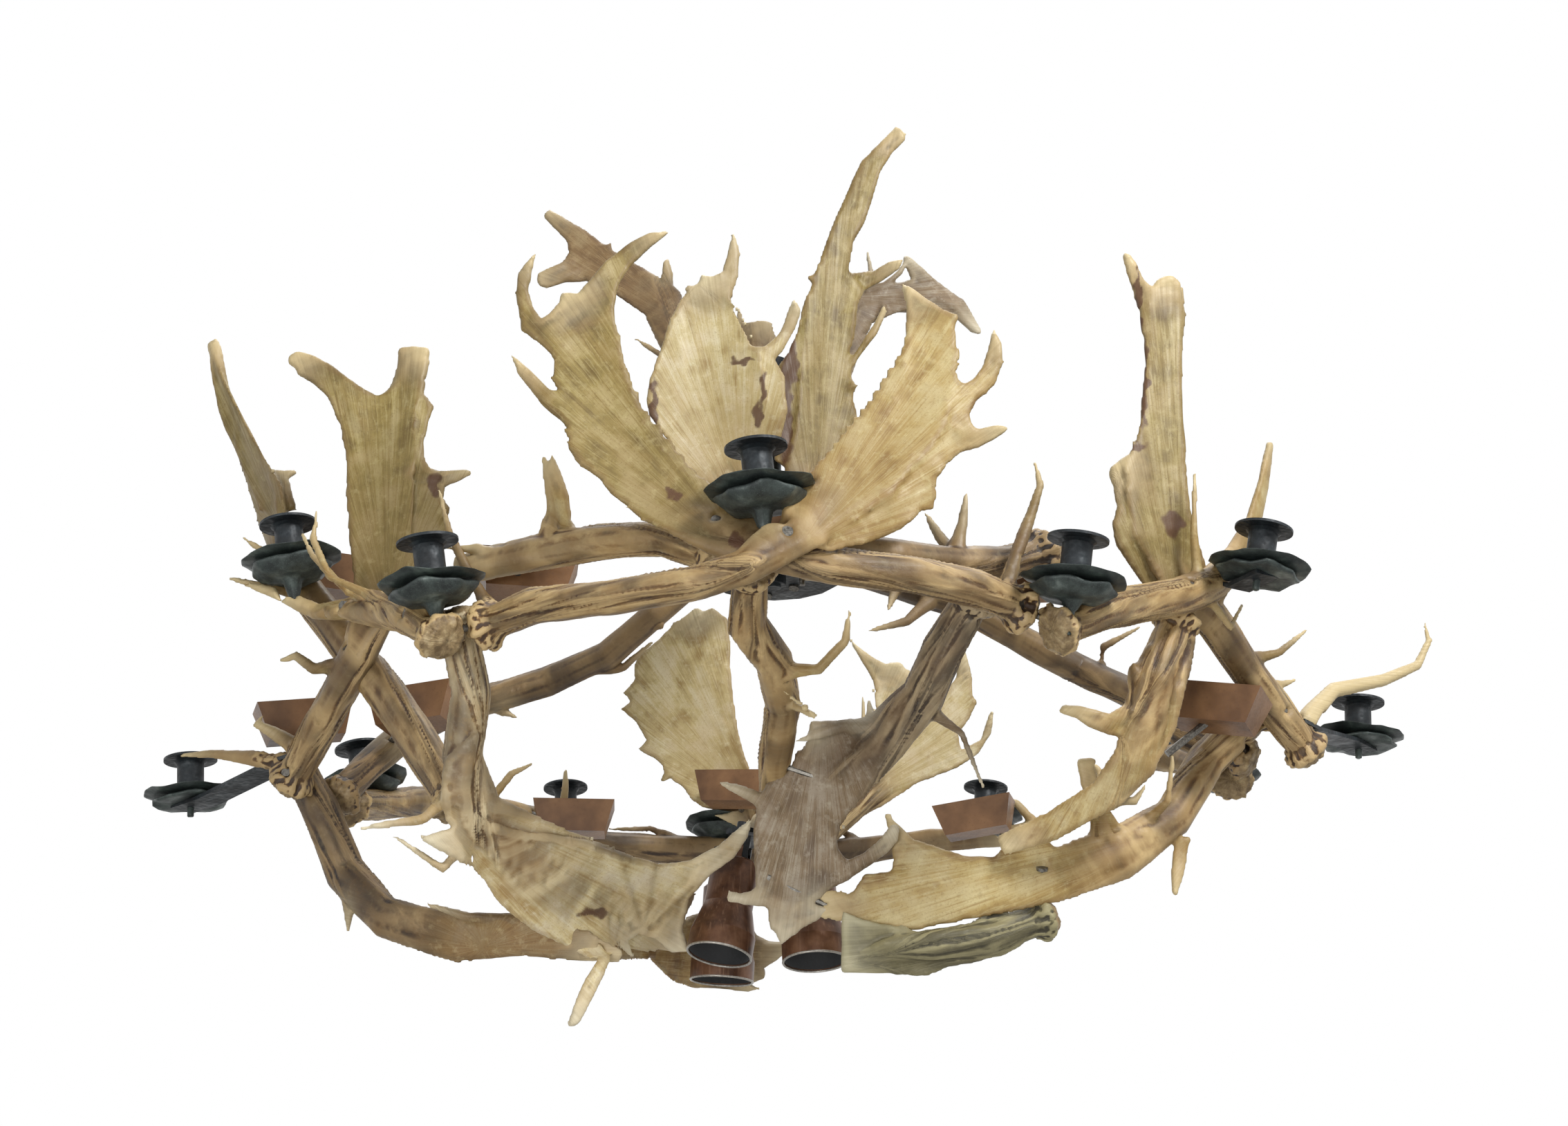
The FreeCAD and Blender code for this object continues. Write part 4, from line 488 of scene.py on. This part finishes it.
# stains and painted shade on single palms, in the photograph: place, half width and half height
STAINS_AND_SHADE = {
    "right_palm": [(1695, 755, 15, 19), (1645, 450, 6, 70), (1655, 555, 6, 70), (1640, 645, 22, 8)],
    "front_left_palm": [(975, 716, 13, 10), (1062, 783, 9, 14)],
    "crown_front": [(1104, 562, 6, 26), (1097, 600, 7, 22), (1075, 523, 18, 5), (945, 590, 7, 45)],
    # painted shade: the dark strip down the left of the crown spike, which lies in shadow
    "crown_spike": [(1134, 600, 13, 80), (1142, 520, 12, 50)],
    "left_palm": [(628, 700, 9, 20)],
    "bowl_left": [(860, 1320, 22, 9)],
}
RAGGED = 9.0           # how far the edges of the marks wander, in pixels
# flat bone between the tines, in millimetres, and the size of its mesh cells in the photograph, in pixels
WEB_THICK, WEB_CELL = 8.0, 9.0
SAMPLE_STEP = 5.0      # between the points of a solid that its flat bone is laid on
SAMPLES = 24           # how many of them give a place its depth
LAYER = 34.0           # how far behind the nearest of them they still count
WEB_ROUNDS = 12        # of smoothing of that depth
VOXEL, QUICK_VOXEL = 2.8, 4.5
FORM_ROUNDS = 18       # of smoothing of the whole antler
PULLS = 0.55, -0.57    # there and back in each round, so that nothing shrinks
# the sawn face is looked for this far behind the butt and this far off its axis, or else it is taken
# to be the nearest places
SAWN_BACK, SAWN_REACH, SAWN_PLACES = 6.0, 45.0, 60
# lanes start here; a tine ends past here, at a place further out than all within its clear reach
LANE_START, TIP_FROM, TIP_CLEAR = 12.0, 90.0, 24.0
RAY_REACH, THICK_ELSE = 60.0, 40.0   # how far thickness is looked for, and what it is beyond
OFF_POINT, OFF_BUTT = (25.0, 45.0), (70.0, 60.0)    # no palm nearer, and over how much it fades in
PALM_THIN, PALM_FADE = 24.0, 10.0    # bone thinner than this is palm, and over how much it turns to beam
POINT_BARE, POINT_LONG = 8.0, 52.0   # the rubbed end of a tine, and how long it fades
CORONET_HIGH, CORONET_R = 16.0, 60.0
# relief in millimetres: fuller round bone, grooves, fine grooves, pearls, swell and ribs of the palm
FULLER, GROOVE, FINE, PEARL, SWELL, RIB = 3.0, 2.0, 0.9, 3.2, 1.6, 0.3


def neighbours(count, pairs):
    """Both directions of each pair of vertices, and how many pairs each vertex has."""
    one = np.concatenate([pairs[:, 0], pairs[:, 1]])
    two = np.concatenate([pairs[:, 1], pairs[:, 0]])
    return one, two, np.maximum(np.bincount(one, minlength=count), 1)


def average(values, one, two, degree):
    """Mean of the neighbours' values at each vertex."""
    if values.ndim == 1:
        return np.bincount(one, values[two], len(degree)) / degree
    columns = [np.bincount(one, values[two, k], len(degree)) / degree for k in range(values.shape[1])]
    return np.stack(columns, 1)


def travel(count, one, two, length, seeds):
    """Distance over the surface from the seeds, and the order in which vertices are reached."""
    order = np.argsort(one, kind="stable")
    ends, steps = two[order].tolist(), length[order].tolist()
    first = np.searchsorted(one[order], np.arange(count + 1)).tolist()
    far = [math.inf] * count
    heap = [(0.0, int(s)) for s in seeds]
    for _, s in heap:
        far[s] = 0.0
    reached = []
    while heap:
        d, v = heapq.heappop(heap)
        if d > far[v]:
            continue
        reached.append(v)
        for k in range(first[v], first[v + 1]):
            w = ends[k]
            nd = d + steps[k]
            if nd < far[w]:
                far[w] = nd
                heapq.heappush(heap, (nd, w))
    return np.array(far), reached, first, ends, steps


def attribute(mesh, name, values):
    kind, field = ("FLOAT", "value") if values.ndim == 1 else ("FLOAT_VECTOR", "vector")
    mesh.attributes.new(name, kind, "POINT").data.foreach_set(field, values.astype(np.float32).ravel())


def scattered(bm, step):
    """Points spread evenly over a mesh, one to each square of the given step."""
    bmesh.ops.triangulate(bm, faces=bm.faces)
    corners = np.array([[v.co for v in face.verts] for face in bm.faces])
    one, two, three = corners[:, 0], corners[:, 1], corners[:, 2]
    area = np.linalg.norm(np.cross(two - one, three - one), axis=1) / 2
    chance = np.random.default_rng(7)
    pick = np.repeat(np.arange(len(area)), np.ceil(area / step ** 2).astype(int))
    a, b = chance.random((2, len(pick), 1))
    a, b = np.where(a + b > 1, 1 - a, a), np.where(a + b > 1, 1 - b, b)
    return one[pick] + a * (two - one)[pick] + b * (three - one)[pick]


def add_webs(bm, outlines, recedes, nearer):
    """Adds flat bone inside each traced outline, at the depth of the antler's own front layer."""
    deep, across, up = in_photo(scattered(bm.copy(), SAMPLE_STEP * MM))
    tree = KDTree(len(deep))
    for k in range(len(deep)):
        tree.insert((across[k], up[k], 0), k)
    tree.balance()
    for outline in outlines:
        web = bmesh.new()
        web.faces.new([web.verts.new((x - PHOTO_W / 2, PHOTO_H / 2 - y, 0)) for x, y in outline])
        web.normal_update()
        bmesh.ops.triangulate(web, faces=web.faces, ngon_method="EAR_CLIP")
        for axis in ((1, 0, 0), (0, 1, 0)):
            places = [v.co.dot(axis) for v in web.verts]
            cut = min(places) + WEB_CELL
            while cut < max(places):
                bmesh.ops.bisect_plane(web, geom=web.verts[:] + web.edges[:] + web.faces[:],
                                       plane_co=Vector(axis) * cut, plane_no=axis)
                cut += WEB_CELL
        depth = {}
        for v in web.verts:
            found = sorted(deep[k] for _, k, _ in tree.find_n(v.co, SAMPLES))
            layer = [d for d in found if d < found[0] + LAYER * MM]
            depth[v] = sum(layer) / len(layer)
        start_x, slope, most = recedes
        thick = WEB_THICK * MM * math.hypot(1, slope)
        for v in depth:
            depth[v] += min(most, max(0, slope * (v.co.x + PHOTO_W / 2 - start_x))) * MM
        for _ in range(WEB_ROUNDS):
            depth = {v: (depth[v] + sum(depth[e.other_vert(v)] for e in v.link_edges))
                     / (len(v.link_edges) + 1) for v in web.verts}
        for v, d in depth.items():
            v.co = VIEWER + sight(v.co.x, v.co.y) * (d - thick / 2 - nearer * MM)
        back = bmesh.ops.extrude_face_region(web, geom=web.faces[:], use_keep_orig=True)["geom"]
        bmesh.ops.translate(web, verts=[g for g in back if isinstance(g, bmesh.types.BMVert)],
                            vec=AHEAD * thick)
        bmesh.ops.recalc_face_normals(web, faces=web.faces)
        held = bpy.data.meshes.new("web")
        web.to_mesh(held)
        web.free()
        bm.from_mesh(held)
        bpy.data.meshes.remove(held)


def smoothed_form(name, source, voxel):
    """A fine even mesh of a CAD solid with its webs, rounded without shrinking."""
    obj = source.copy()
    obj.data = source.data.copy()
    obj.parent = None
    obj.hide_render = False
    obj.hide_viewport = False
    for key in list(obj.keys()):
        del obj[key]
    scene.collection.objects.link(obj)
    bm = bmesh.new()
    bm.from_mesh(obj.data)
    bmesh.ops.remove_doubles(bm, verts=bm.verts, dist=0.01 * MM)
    add_webs(bm, TRACED.get(name, []), RECEDES.get(name, (0, 0, 0)), NEARER.get(name, 0))
    bm.to_mesh(obj.data)
    bm.free()
    obj.modifiers.new("voxels", "REMESH").voxel_size = voxel
    obj.modifiers["voxels"].mode = "VOXEL"
    bpy.context.view_layer.update()
    mesh = bpy.data.meshes.new_from_object(obj.evaluated_get(bpy.context.evaluated_depsgraph_get()))
    bpy.data.objects.remove(obj)
    count = len(mesh.vertices)
    place = np.zeros(count * 3)
    mesh.vertices.foreach_get("co", place)
    place = place.reshape(-1, 3)
    edges = np.zeros(len(mesh.edges) * 2, int)
    mesh.edges.foreach_get("vertices", edges)
    edges = edges.reshape(-1, 2)
    one, two, degree = neighbours(count, edges)
    for _ in range(FORM_ROUNDS):
        for pull in PULLS:
            place = place + pull * (average(place, one, two, degree) - place)
    return mesh, place, edges, (one, two, degree)


def normals(mesh, place):
    mesh.vertices.foreach_set("co", place.ravel())
    mesh.update()
    out = np.zeros(len(place) * 3)
    mesh.vertex_normals.foreach_get("vector", out)
    return out.reshape(-1, 3)


def fan_lines(name, place, flow):
    """A place on the palm as its line of growth, its distance out and a number of its own, in metres."""
    if name not in SPRINGS:
        return flow * (0.06, 0.06, 1.0)
    spring_x, spring_y = SPRINGS[name]
    deep, across, up = in_photo(place)
    across = (across - spring_x + PHOTO_W / 2) / FOCAL * deep
    up = (up - PHOTO_H / 2 + spring_y) / FOCAL * deep
    turn = np.arctan2(up, across)
    middle = np.arctan2(np.sin(turn).mean(), np.cos(turn).mean())
    turn = (turn - middle + np.pi) % (2 * np.pi) - np.pi
    return np.column_stack([turn * 0.25, flow[:, 0] * 0.01, np.hypot(across, up)])


def stains_and_shade_on(name, place):
    """How strongly each place is darkened by stains and painted shade, from the patches seen in the
    photograph.
    """
    _, across, up = in_photo(place)
    across, up = across + PHOTO_W / 2, PHOTO_H / 2 - up
    across += [RAGGED * noise.noise(p * 70) for p in map(Vector, place)]
    up += [RAGGED * noise.noise(p * 80) for p in map(Vector, place)]
    out = np.zeros(len(place))
    for x, y, wide, high in STAINS_AND_SHADE.get(name, []):
        out = np.maximum(out, 2.6 - 2 * np.hypot((across - x) / wide, (up - y) / high))
    return np.clip(out, 0, 1)


def grow_antler(name, finish, butt, ahead, seed):
    """The visible antler: rounded, grooved and pearled, with the attributes that its finish reads."""
    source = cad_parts["antler_" + name]
    voxel = VOXEL * MM
    mesh, place, edges, (one, two, degree) = smoothed_form(name, source, voxel)
    count = len(place)
    faces = np.zeros(len(mesh.loops), int)
    mesh.loops.foreach_get("vertex_index", faces)
    faces = faces.reshape(-1, 4)
    pairs = np.concatenate([edges, faces[:, (0, 2)], faces[:, (1, 3)]])
    near, far_end, _ = neighbours(count, pairs)
    length = np.linalg.norm(place[near] - place[far_end], axis=1)

    # distance from the butt over the surface
    root, up = np.array(spot(*butt)), np.array(spot(*ahead))
    axis = (up - root) / np.linalg.norm(up - root)
    along = (place - root) @ axis
    out = place - root - along[:, None] * axis
    off = np.linalg.norm(out, axis=1)
    base = np.where((along < -SAWN_BACK * MM) & (off < SAWN_REACH * MM))[0]
    if not len(base):
        base = np.argsort(np.linalg.norm(place - root, axis=1))[:SAWN_PLACES]
    run, order, first, ends, steps = travel(count, near, far_end, length, base)
    run[np.isinf(run)] = 0.5

    # lane: the angle round the beam, carried outwards along the flow of the surface
    side = np.cross(axis, (0.3, 0.5, 0.8))
    side /= np.linalg.norm(side)
    other = np.cross(axis, side)
    lane = np.stack([out @ side, out @ other], 1) / np.maximum(off, 1e-6)[:, None]
    cos, sin = lane[:, 0].tolist(), lane[:, 1].tolist()
    runs = run.tolist()
    for v in order:
        here = runs[v]
        if here < LANE_START * MM:
            continue
        total = x = y = 0.0
        for k in range(first[v], first[v + 1]):
            w = ends[k]
            drop = here - runs[w]
            if drop > 0:
                weight = drop / steps[k]
                weight *= weight
                total += weight
                x += weight * cos[w]
                y += weight * sin[w]
        if total:
            size = math.hypot(x, y) or 1.0
            cos[v], sin[v] = x / size, y / size
    lane = np.stack([cos, sin], 1)
    for _ in range(3):
        lane = 0.5 * lane + 0.5 * average(lane, one, two, degree)
    lane /= np.maximum(np.linalg.norm(lane, axis=1), 1e-6)[:, None]

    # thickness under each place, by a ray through the solid
    normal = normals(mesh, place)
    tree = BVHTree.FromPolygons(place.tolist(), faces.tolist())
    thick = np.full(count, THICK_ELSE * MM)
    for k in range(count):
        way = Vector(-normal[k])
        hit = tree.ray_cast(Vector(place[k]) + way * (0.5 * MM), way, RAY_REACH * MM)
        if hit[0] is not None:
            thick[k] = hit[3]
    for _ in range(6):
        thick = 0.4 * thick + 0.6 * average(thick, one, two, degree)

    # points of the tines: places further from the butt than all around them
    peak = run.copy()
    for _ in range(int(round(TIP_CLEAR * MM / voxel))):
        best = peak.copy()
        np.maximum.at(best, one, peak[two])
        peak = best
    tips = np.where((run >= peak - 1e-9) & (run > TIP_FROM * MM))[0]
    gap = travel(count, near, far_end, length, tips)[0] if len(tips) else np.full(count, 1.0)
    point = np.clip(1 - (gap - POINT_BARE * MM) / (POINT_LONG * MM), 0, 1) ** 1.3
    spread = np.clip((PALM_THIN * MM - thick) / (PALM_FADE * MM), 0, 1)
    for away, (start_at, fade) in ((gap, OFF_POINT), (run, OFF_BUTT)):
        spread *= np.clip((away - start_at * MM) / (fade * MM), 0, 1)
    for _ in range(8):
        spread = 0.4 * spread + 0.6 * average(spread, one, two, degree)
    coronet = np.clip(1 - np.abs(along + 4 * MM) / (CORONET_HIGH * MM), 0, 1)
    coronet *= (off < CORONET_R * MM) * (off > 14 * MM)
    coronet = np.clip(coronet * 1.6, 0, 1)
    cut = ((along < -11 * MM) & (off < 40 * MM)).astype(float)

    # relief: grooves along the beam, pearls on the coronet, a slow swell and nicked edges on the palm
    shift = Vector((seed * 3.7, seed * 1.3, seed * 2.1))
    lift = np.zeros(count)
    for k in range(count):
        s = run[k]
        c, t = lane[k]
        groove = noise.noise(Vector((c * 3.4, t * 3.4, s * 14)) + shift)
        fine = noise.noise(Vector((c * 9, t * 9, s * 22)) + shift)
        round_bone = 1 - spread[k]
        lift[k] = GROOVE * MM * round_bone * (1 - 0.8 * point[k]) * groove
        lift[k] += FINE * MM * round_bone * (1 - point[k]) * fine
        lift[k] += FULLER * MM * round_bone * min(1.0, thick[k] / (PALM_THIN * MM)) * (1 - coronet[k])
        if coronet[k] > 0.01:
            pearl = noise.noise(Vector(place[k]) * 150 + shift)
            lift[k] += PEARL * MM * coronet[k] * max(pearl, -0.25)
        if spread[k] > 0.01:
            swell = noise.noise(Vector(place[k]) * 16 + shift)
            rib = noise.noise(Vector((c * 7, t * 7, s * 10)) + shift)
            lift[k] += spread[k] * (SWELL * MM * swell + RIB * MM * rib)
    place = place + normal * lift[:, None]
    normal = normals(mesh, place)

    # ridges and hollows, for rubbed wear and painted highlight on the ridges and painted shade in the hollows
    bend = ((place - average(place, one, two, degree)) * normal).sum(1) / voxel
    for _ in range(2):
        bend = 0.5 * bend + 0.5 * average(bend, one, two, degree)
    attribute(mesh, "ridge", np.clip(0.5 + bend * 6.0, 0, 1))
    flow = np.column_stack([lane[:, 0] + seed * 2.3, lane[:, 1] + seed, run])
    attribute(mesh, "flow", flow)
    attribute(mesh, "fan", fan_lines(name, place, flow))
    attribute(mesh, "mark", stains_and_shade_on(name, place))
    attribute(mesh, "spread", spread)
    attribute(mesh, "point", point)
    attribute(mesh, "burr", coronet)
    attribute(mesh, "butt", cut)
    mesh.polygons.foreach_set("use_smooth", [True] * len(mesh.polygons))
    mesh.materials.clear()
    mesh.materials.append(finish)
    mesh.update()
    piece = bpy.data.objects.new("bone_antler_" + name, mesh)
    scene.collection.objects.link(piece)
    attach(piece, "frame")
    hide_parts("antler_" + name)


for number, (name, (finish, butt, ahead)) in enumerate(ANTLERS.items()):
    grow_antler(name, finish, butt, ahead, number)


# ---- iron, sheet and copper --------------------------------------------------------
def dress(node, finish):
    """A carried-over CAD node gets its finish."""
    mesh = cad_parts[node].data
    mesh.materials.clear()
    mesh.materials.append(finish)


def copied(node):
    """A merged bmesh of a CAD node, to be worked on."""
    bm = bmesh.new()
    bm.from_mesh(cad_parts[node].data)
    bmesh.ops.remove_doubles(bm, verts=bm.verts, dist=0.01 * MM)
    return bm


def islands(bm):
    """Each separate solid of a mesh, as its vertices, in the same order each run."""
    seen, out = set(), []
    for first in bm.verts:
        if first in seen:
            continue
        seen.add(first)
        queue, group = [first], [first]
        while queue:
            for edge in queue.pop().link_edges:
                for v in edge.verts:
                    if v not in seen:
                        seen.add(v)
                        queue.append(v)
                        group.append(v)
        out.append(group)
    return out


def finish_piece(bm, name, node, finish, body="frame"):
    mesh = bpy.data.meshes.new(name)
    bm.to_mesh(mesh)
    bm.free()
    mesh.polygons.foreach_set("use_smooth", [True] * len(mesh.polygons))
    mesh.materials.append(finish)
    piece = bpy.data.objects.new(name, mesh)
    scene.collection.objects.link(piece)
    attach(piece, body)
    if node:
        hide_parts(node)


def frame_of(group):
    """Middle, axis and across of a flat round solid."""
    points = np.array([v.co for v in group])
    middle = points.mean(0)
    axes = np.linalg.svd(points - middle, full_matrices=False)[2]
    axis = Vector(axes[2] if axes[2][2] > 0 else -axes[2])
    return Vector(middle), axis, Vector(axes[0])


def finely_copied(node):
    """The merged bmesh of a node with each edge cut in four."""
    bm = copied(node)
    bmesh.ops.subdivide_edges(bm, edges=bm.edges, cuts=3, use_grid_fill=True)
    return bm


def eased(bm):
    """Takes the sharpness off what was beaten."""
    for _ in range(2):
        bmesh.ops.smooth_vert(bm, verts=bm.verts, factor=0.3,
                              use_axis_x=True, use_axis_y=True, use_axis_z=True)


# drip pans: radius at which the rim starts and its width, and how much of their height they lose
RIM_FROM, RIM_WIDTH, PAN_FLATTER = 24, 36, 0.5
PAN_BEND, PAN_CRIMP, PAN_DENT = 2.0, 3.0, 1.0
# under-plates: lowest place below the pan, how much wider than the plain seats, radius of the foot
PLATE_DEEP, PLATE_WIDE, PLATE_FOOT = 22.0, 1.75, 9
PLATE_WAVE, PLATE_DROP, PLATE_DENT = 2.2, 3.0, 1.5


def hammered_pans(node):
    """Drip pans: thin beaten discs, bent and crimped round the rim."""
    bm = finely_copied(node)
    frames = []
    for number, group in enumerate(islands(bm)):
        middle, axis, across = frame_of(group)
        frames.append((middle, axis, across))
        beside = axis.cross(across)
        low = min((v.co - middle).dot(axis) for v in group)
        for v in group:
            d = v.co - middle
            x, y = d.dot(across), d.dot(beside)
            r, a = math.hypot(x, y) / MM, math.atan2(y, x)
            rim = min(1.0, max(0.0, (r - RIM_FROM) / RIM_WIDTH))
            wave = math.sin(2 * a + number) + 0.5 * math.sin(5 * a + 2.1 * number)
            crimp = noise.noise(Vector((2.2 * math.cos(a), 2.2 * math.sin(a), number * 5.0)))
            dent = noise.noise(v.co * 75 + Vector((number, 0, 0)))
            rise = rim * rim * (PAN_BEND * wave + PAN_CRIMP * crimp) + rim * PAN_DENT * dent
            v.co += axis * (rise * MM - (d.dot(axis) - low) * PAN_FLATTER)
    eased(bm)
    finish_piece(bm, "hammered_" + node, node, SLATE)
    return frames


def under_plates(frames):
    """Under-plates that the pans stand on: shallow beaten bowls with a wavy upper edge."""
    bm = finely_copied("pan_seats")
    for number, group in enumerate(islands(bm)):
        here = sum((v.co for v in group), Vector()) / len(group)
        middle, axis, across = min(frames, key=lambda f: (f[0] - here).length)
        beside = axis.cross(across)
        for v in group:
            d = v.co - middle
            h, x, y = d.dot(axis) / MM, d.dot(across), d.dot(beside)
            r, a = math.hypot(x, y) / MM, math.atan2(y, x)
            out = min(1.0, max(0.0, (r - PLATE_FOOT) / 20))
            if not out:
                continue
            h = max(h, -PLATE_DEEP) - 0.15 * max(0, -PLATE_DEEP - h)
            wave = math.sin(4 * a + 2 * number) + 0.7 * math.sin(7 * a + number)
            wide = 1 + (PLATE_WIDE - 1) * out + 0.05 * out * wave
            drop = out * out * (PLATE_WAVE * wave - PLATE_DROP) + PLATE_DENT * noise.noise(v.co * 90)
            v.co = middle + (across * x + beside * y) * wide + axis * ((h + drop) * MM)
    eased(bm)
    finish_piece(bm, "beaten_pan_seats", "pan_seats", VERDIGRIS)


under_plates(hammered_pans("drip_pans_upper") + hammered_pans("drip_pans_lower"))

for node in ("candle_cups_upper", "candle_cups_lower", "strap_arms", "hub_plate", "hanging_rod",
             "downlight_bars", "downlight_forks", "downlight_pins"):
    dress(node, IRON)
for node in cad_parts:
    if node.startswith("light_box_"):
        dress(node, SHEET)
for node, finish in (("box_lamps", GLASS), ("box_posts", STEEL), ("lag_screws", STEEL)):
    dress(node, finish)

# copper downlights: pivot of the knuckle, lean of the fork and tilt of the barrel, in degrees
DOWNLIGHTS = {
    "left": ((-30, -90, -199), 9.6, -8.6),
    "back": ((-45, -4, -206), 3.0, 2.0),
    "right": ((58, -94, -205), -2.5, -7.0),
}
# in millimetres: the mouth and how far below the pivot it lies, the wire of its rim, and the black
# lining inside it with its ends above the mouth and the hole round the lamp
MOUTH_R, MOUTH_DOWN, RIM_WIRE = 40.0, 136.0, 1.5
BAFFLE_R, BAFFLE_LOW, BAFFLE_HIGH, BAFFLE_HOLE = 37.6, 3.0, 28.0, 6.0


def turn_matrix(axis, degrees):
    return Matrix.Rotation(math.radians(degrees), 3, axis)


def turned(bm, profile):
    """Spins a closed profile of (radius, height) points, in millimetres, once round the barrel's axis."""
    ring = [bm.verts.new((r * MM, 0, h * MM)) for r, h in profile]
    edges = [bm.edges.new((a, b)) for a, b in zip(ring, ring[1:] + ring[:1])]
    bmesh.ops.spin(bm, geom=ring + edges, cent=(0, 0, 0), axis=(0, 0, 1), angle=2 * math.pi,
                   steps=48, use_merge=True)


def placed(bm, pivot, lean, tilt):
    """Turns a piece made round the barrel's axis into its place on the tilted barrel."""
    bmesh.ops.remove_doubles(bm, verts=bm.verts, dist=0.01 * MM)
    bmesh.ops.recalc_face_normals(bm, faces=bm.faces)
    bmesh.ops.rotate(bm, verts=bm.verts, cent=(0, 0, 0), matrix=turn_matrix("X", tilt))
    bmesh.ops.rotate(bm, verts=bm.verts, cent=(0, 0, 0), matrix=turn_matrix("Y", lean))
    bmesh.ops.translate(bm, verts=bm.verts, vec=spot(*pivot))


def downlight_dress(name, pivot, lean, tilt):
    """Copper on the barrel, a pale spun rim round its mouth, a black baffle and a dark holder inside."""
    dress("downlight_" + name, COPPER)
    dress("downlight_lamp_" + name, DARK)
    body = "downlight_%s_body" % name
    rim = bmesh.new()
    corners = [k * math.pi / 4 for k in range(8)]
    turned(rim, [(MOUTH_R - 1 + RIM_WIRE * math.cos(a), 1 - MOUTH_DOWN + RIM_WIRE * math.sin(a))
                 for a in corners])
    placed(rim, pivot, lean, tilt)
    finish_piece(rim, "downlight_rim_" + name, None, RIM, body)
    baffle = bmesh.new()
    low, high = BAFFLE_LOW - MOUTH_DOWN, BAFFLE_HIGH - MOUTH_DOWN
    turned(baffle, [(BAFFLE_R, low), (BAFFLE_R, high), (BAFFLE_HOLE, high), (BAFFLE_HOLE, high - 1),
                    (BAFFLE_R - 1, high - 1), (BAFFLE_R - 1, low)])
    placed(baffle, pivot, lean, tilt)
    finish_piece(baffle, "downlight_baffle_" + name, None, DARK, body)


for name, (pivot, lean, tilt) in DOWNLIGHTS.items():
    downlight_dress(name, pivot, lean, tilt)


# ---- studio ------------------------------------------------------------------------
def lamp(name, place, aim, size, power):
    data = bpy.data.lights.new(name, "AREA")
    data.shape = "RECTANGLE"
    data.size, data.size_y = size
    data.energy = power
    obj = bpy.data.objects.new(name, data)
    obj.location = place
    obj.rotation_euler = (Vector(aim) - Vector(place)).to_track_quat("-Z", "Y").to_euler()
    scene.collection.objects.link(obj)


middle = (0.0, 0.0, -0.5)
# each lamp: place and size in metres, power in watts
lamp("key", (2.2, -3.2, 1.7), middle, (1.2, 1.0), 150)
lamp("fill", (-1.2, -3.6, -1.6), middle, (1.6, 1.2), 45)
lamp("top", (0.3, 0.8, 2.6), middle, (2.6, 2.0), 50)

SOFT_LIGHT = 0.24      # of the surroundings, which the camera sees as plain white
FLOOR_Z, FLOOR_HALF = -2.9, 6.0
world = bpy.data.worlds.new("studio")
scene.world = world
world.use_nodes = True
tree = world.node_tree
rays = add(tree, "LightPath").node.outputs
seen = rays["Is Camera Ray"]
for ray in ("Is Transmission Ray", "Is Glossy Ray"):
    seen = add(tree, "Math", {0: seen, 1: rays[ray]}, operation="MAXIMUM")
soft = tree.nodes["Background"]
soft.inputs["Color"].default_value = (0.93, 0.96, 1.0, 1)
soft.inputs["Strength"].default_value = SOFT_LIGHT
white = add(tree, "Background", {"Color": (1, 1, 1, 1), "Strength": 1.0})
both = add(tree, "MixShader", {0: seen, 1: soft.outputs[0], 2: white})
tree.links.new(both, tree.nodes["World Output"].inputs["Surface"])

bm = bmesh.new()
bmesh.ops.create_grid(bm, x_segments=1, y_segments=1, size=FLOOR_HALF)
bmesh.ops.translate(bm, verts=bm.verts, vec=(0, 0, FLOOR_Z))
mesh = bpy.data.meshes.new("pale_floor")
bm.to_mesh(mesh)
bm.free()
floor = bpy.data.objects.new("pale_floor", mesh)
mesh.materials.append(plain("pale_studio_floor", "#E4E2DE", "#ECEAE6", 3.0, 0.7))
scene.collection.objects.link(floor)

view = bpy.data.cameras.new("view")
view.lens = LENS
view.sensor_width = SENSOR
view.clip_end = 50
camera = bpy.data.objects.new("view", view)
camera.location = VIEWER
camera.rotation_euler = (math.pi / 2 + RISE, 0, 0)
scene.collection.objects.link(camera)
scene.camera = camera
scene.view_settings.view_transform = "Standard"
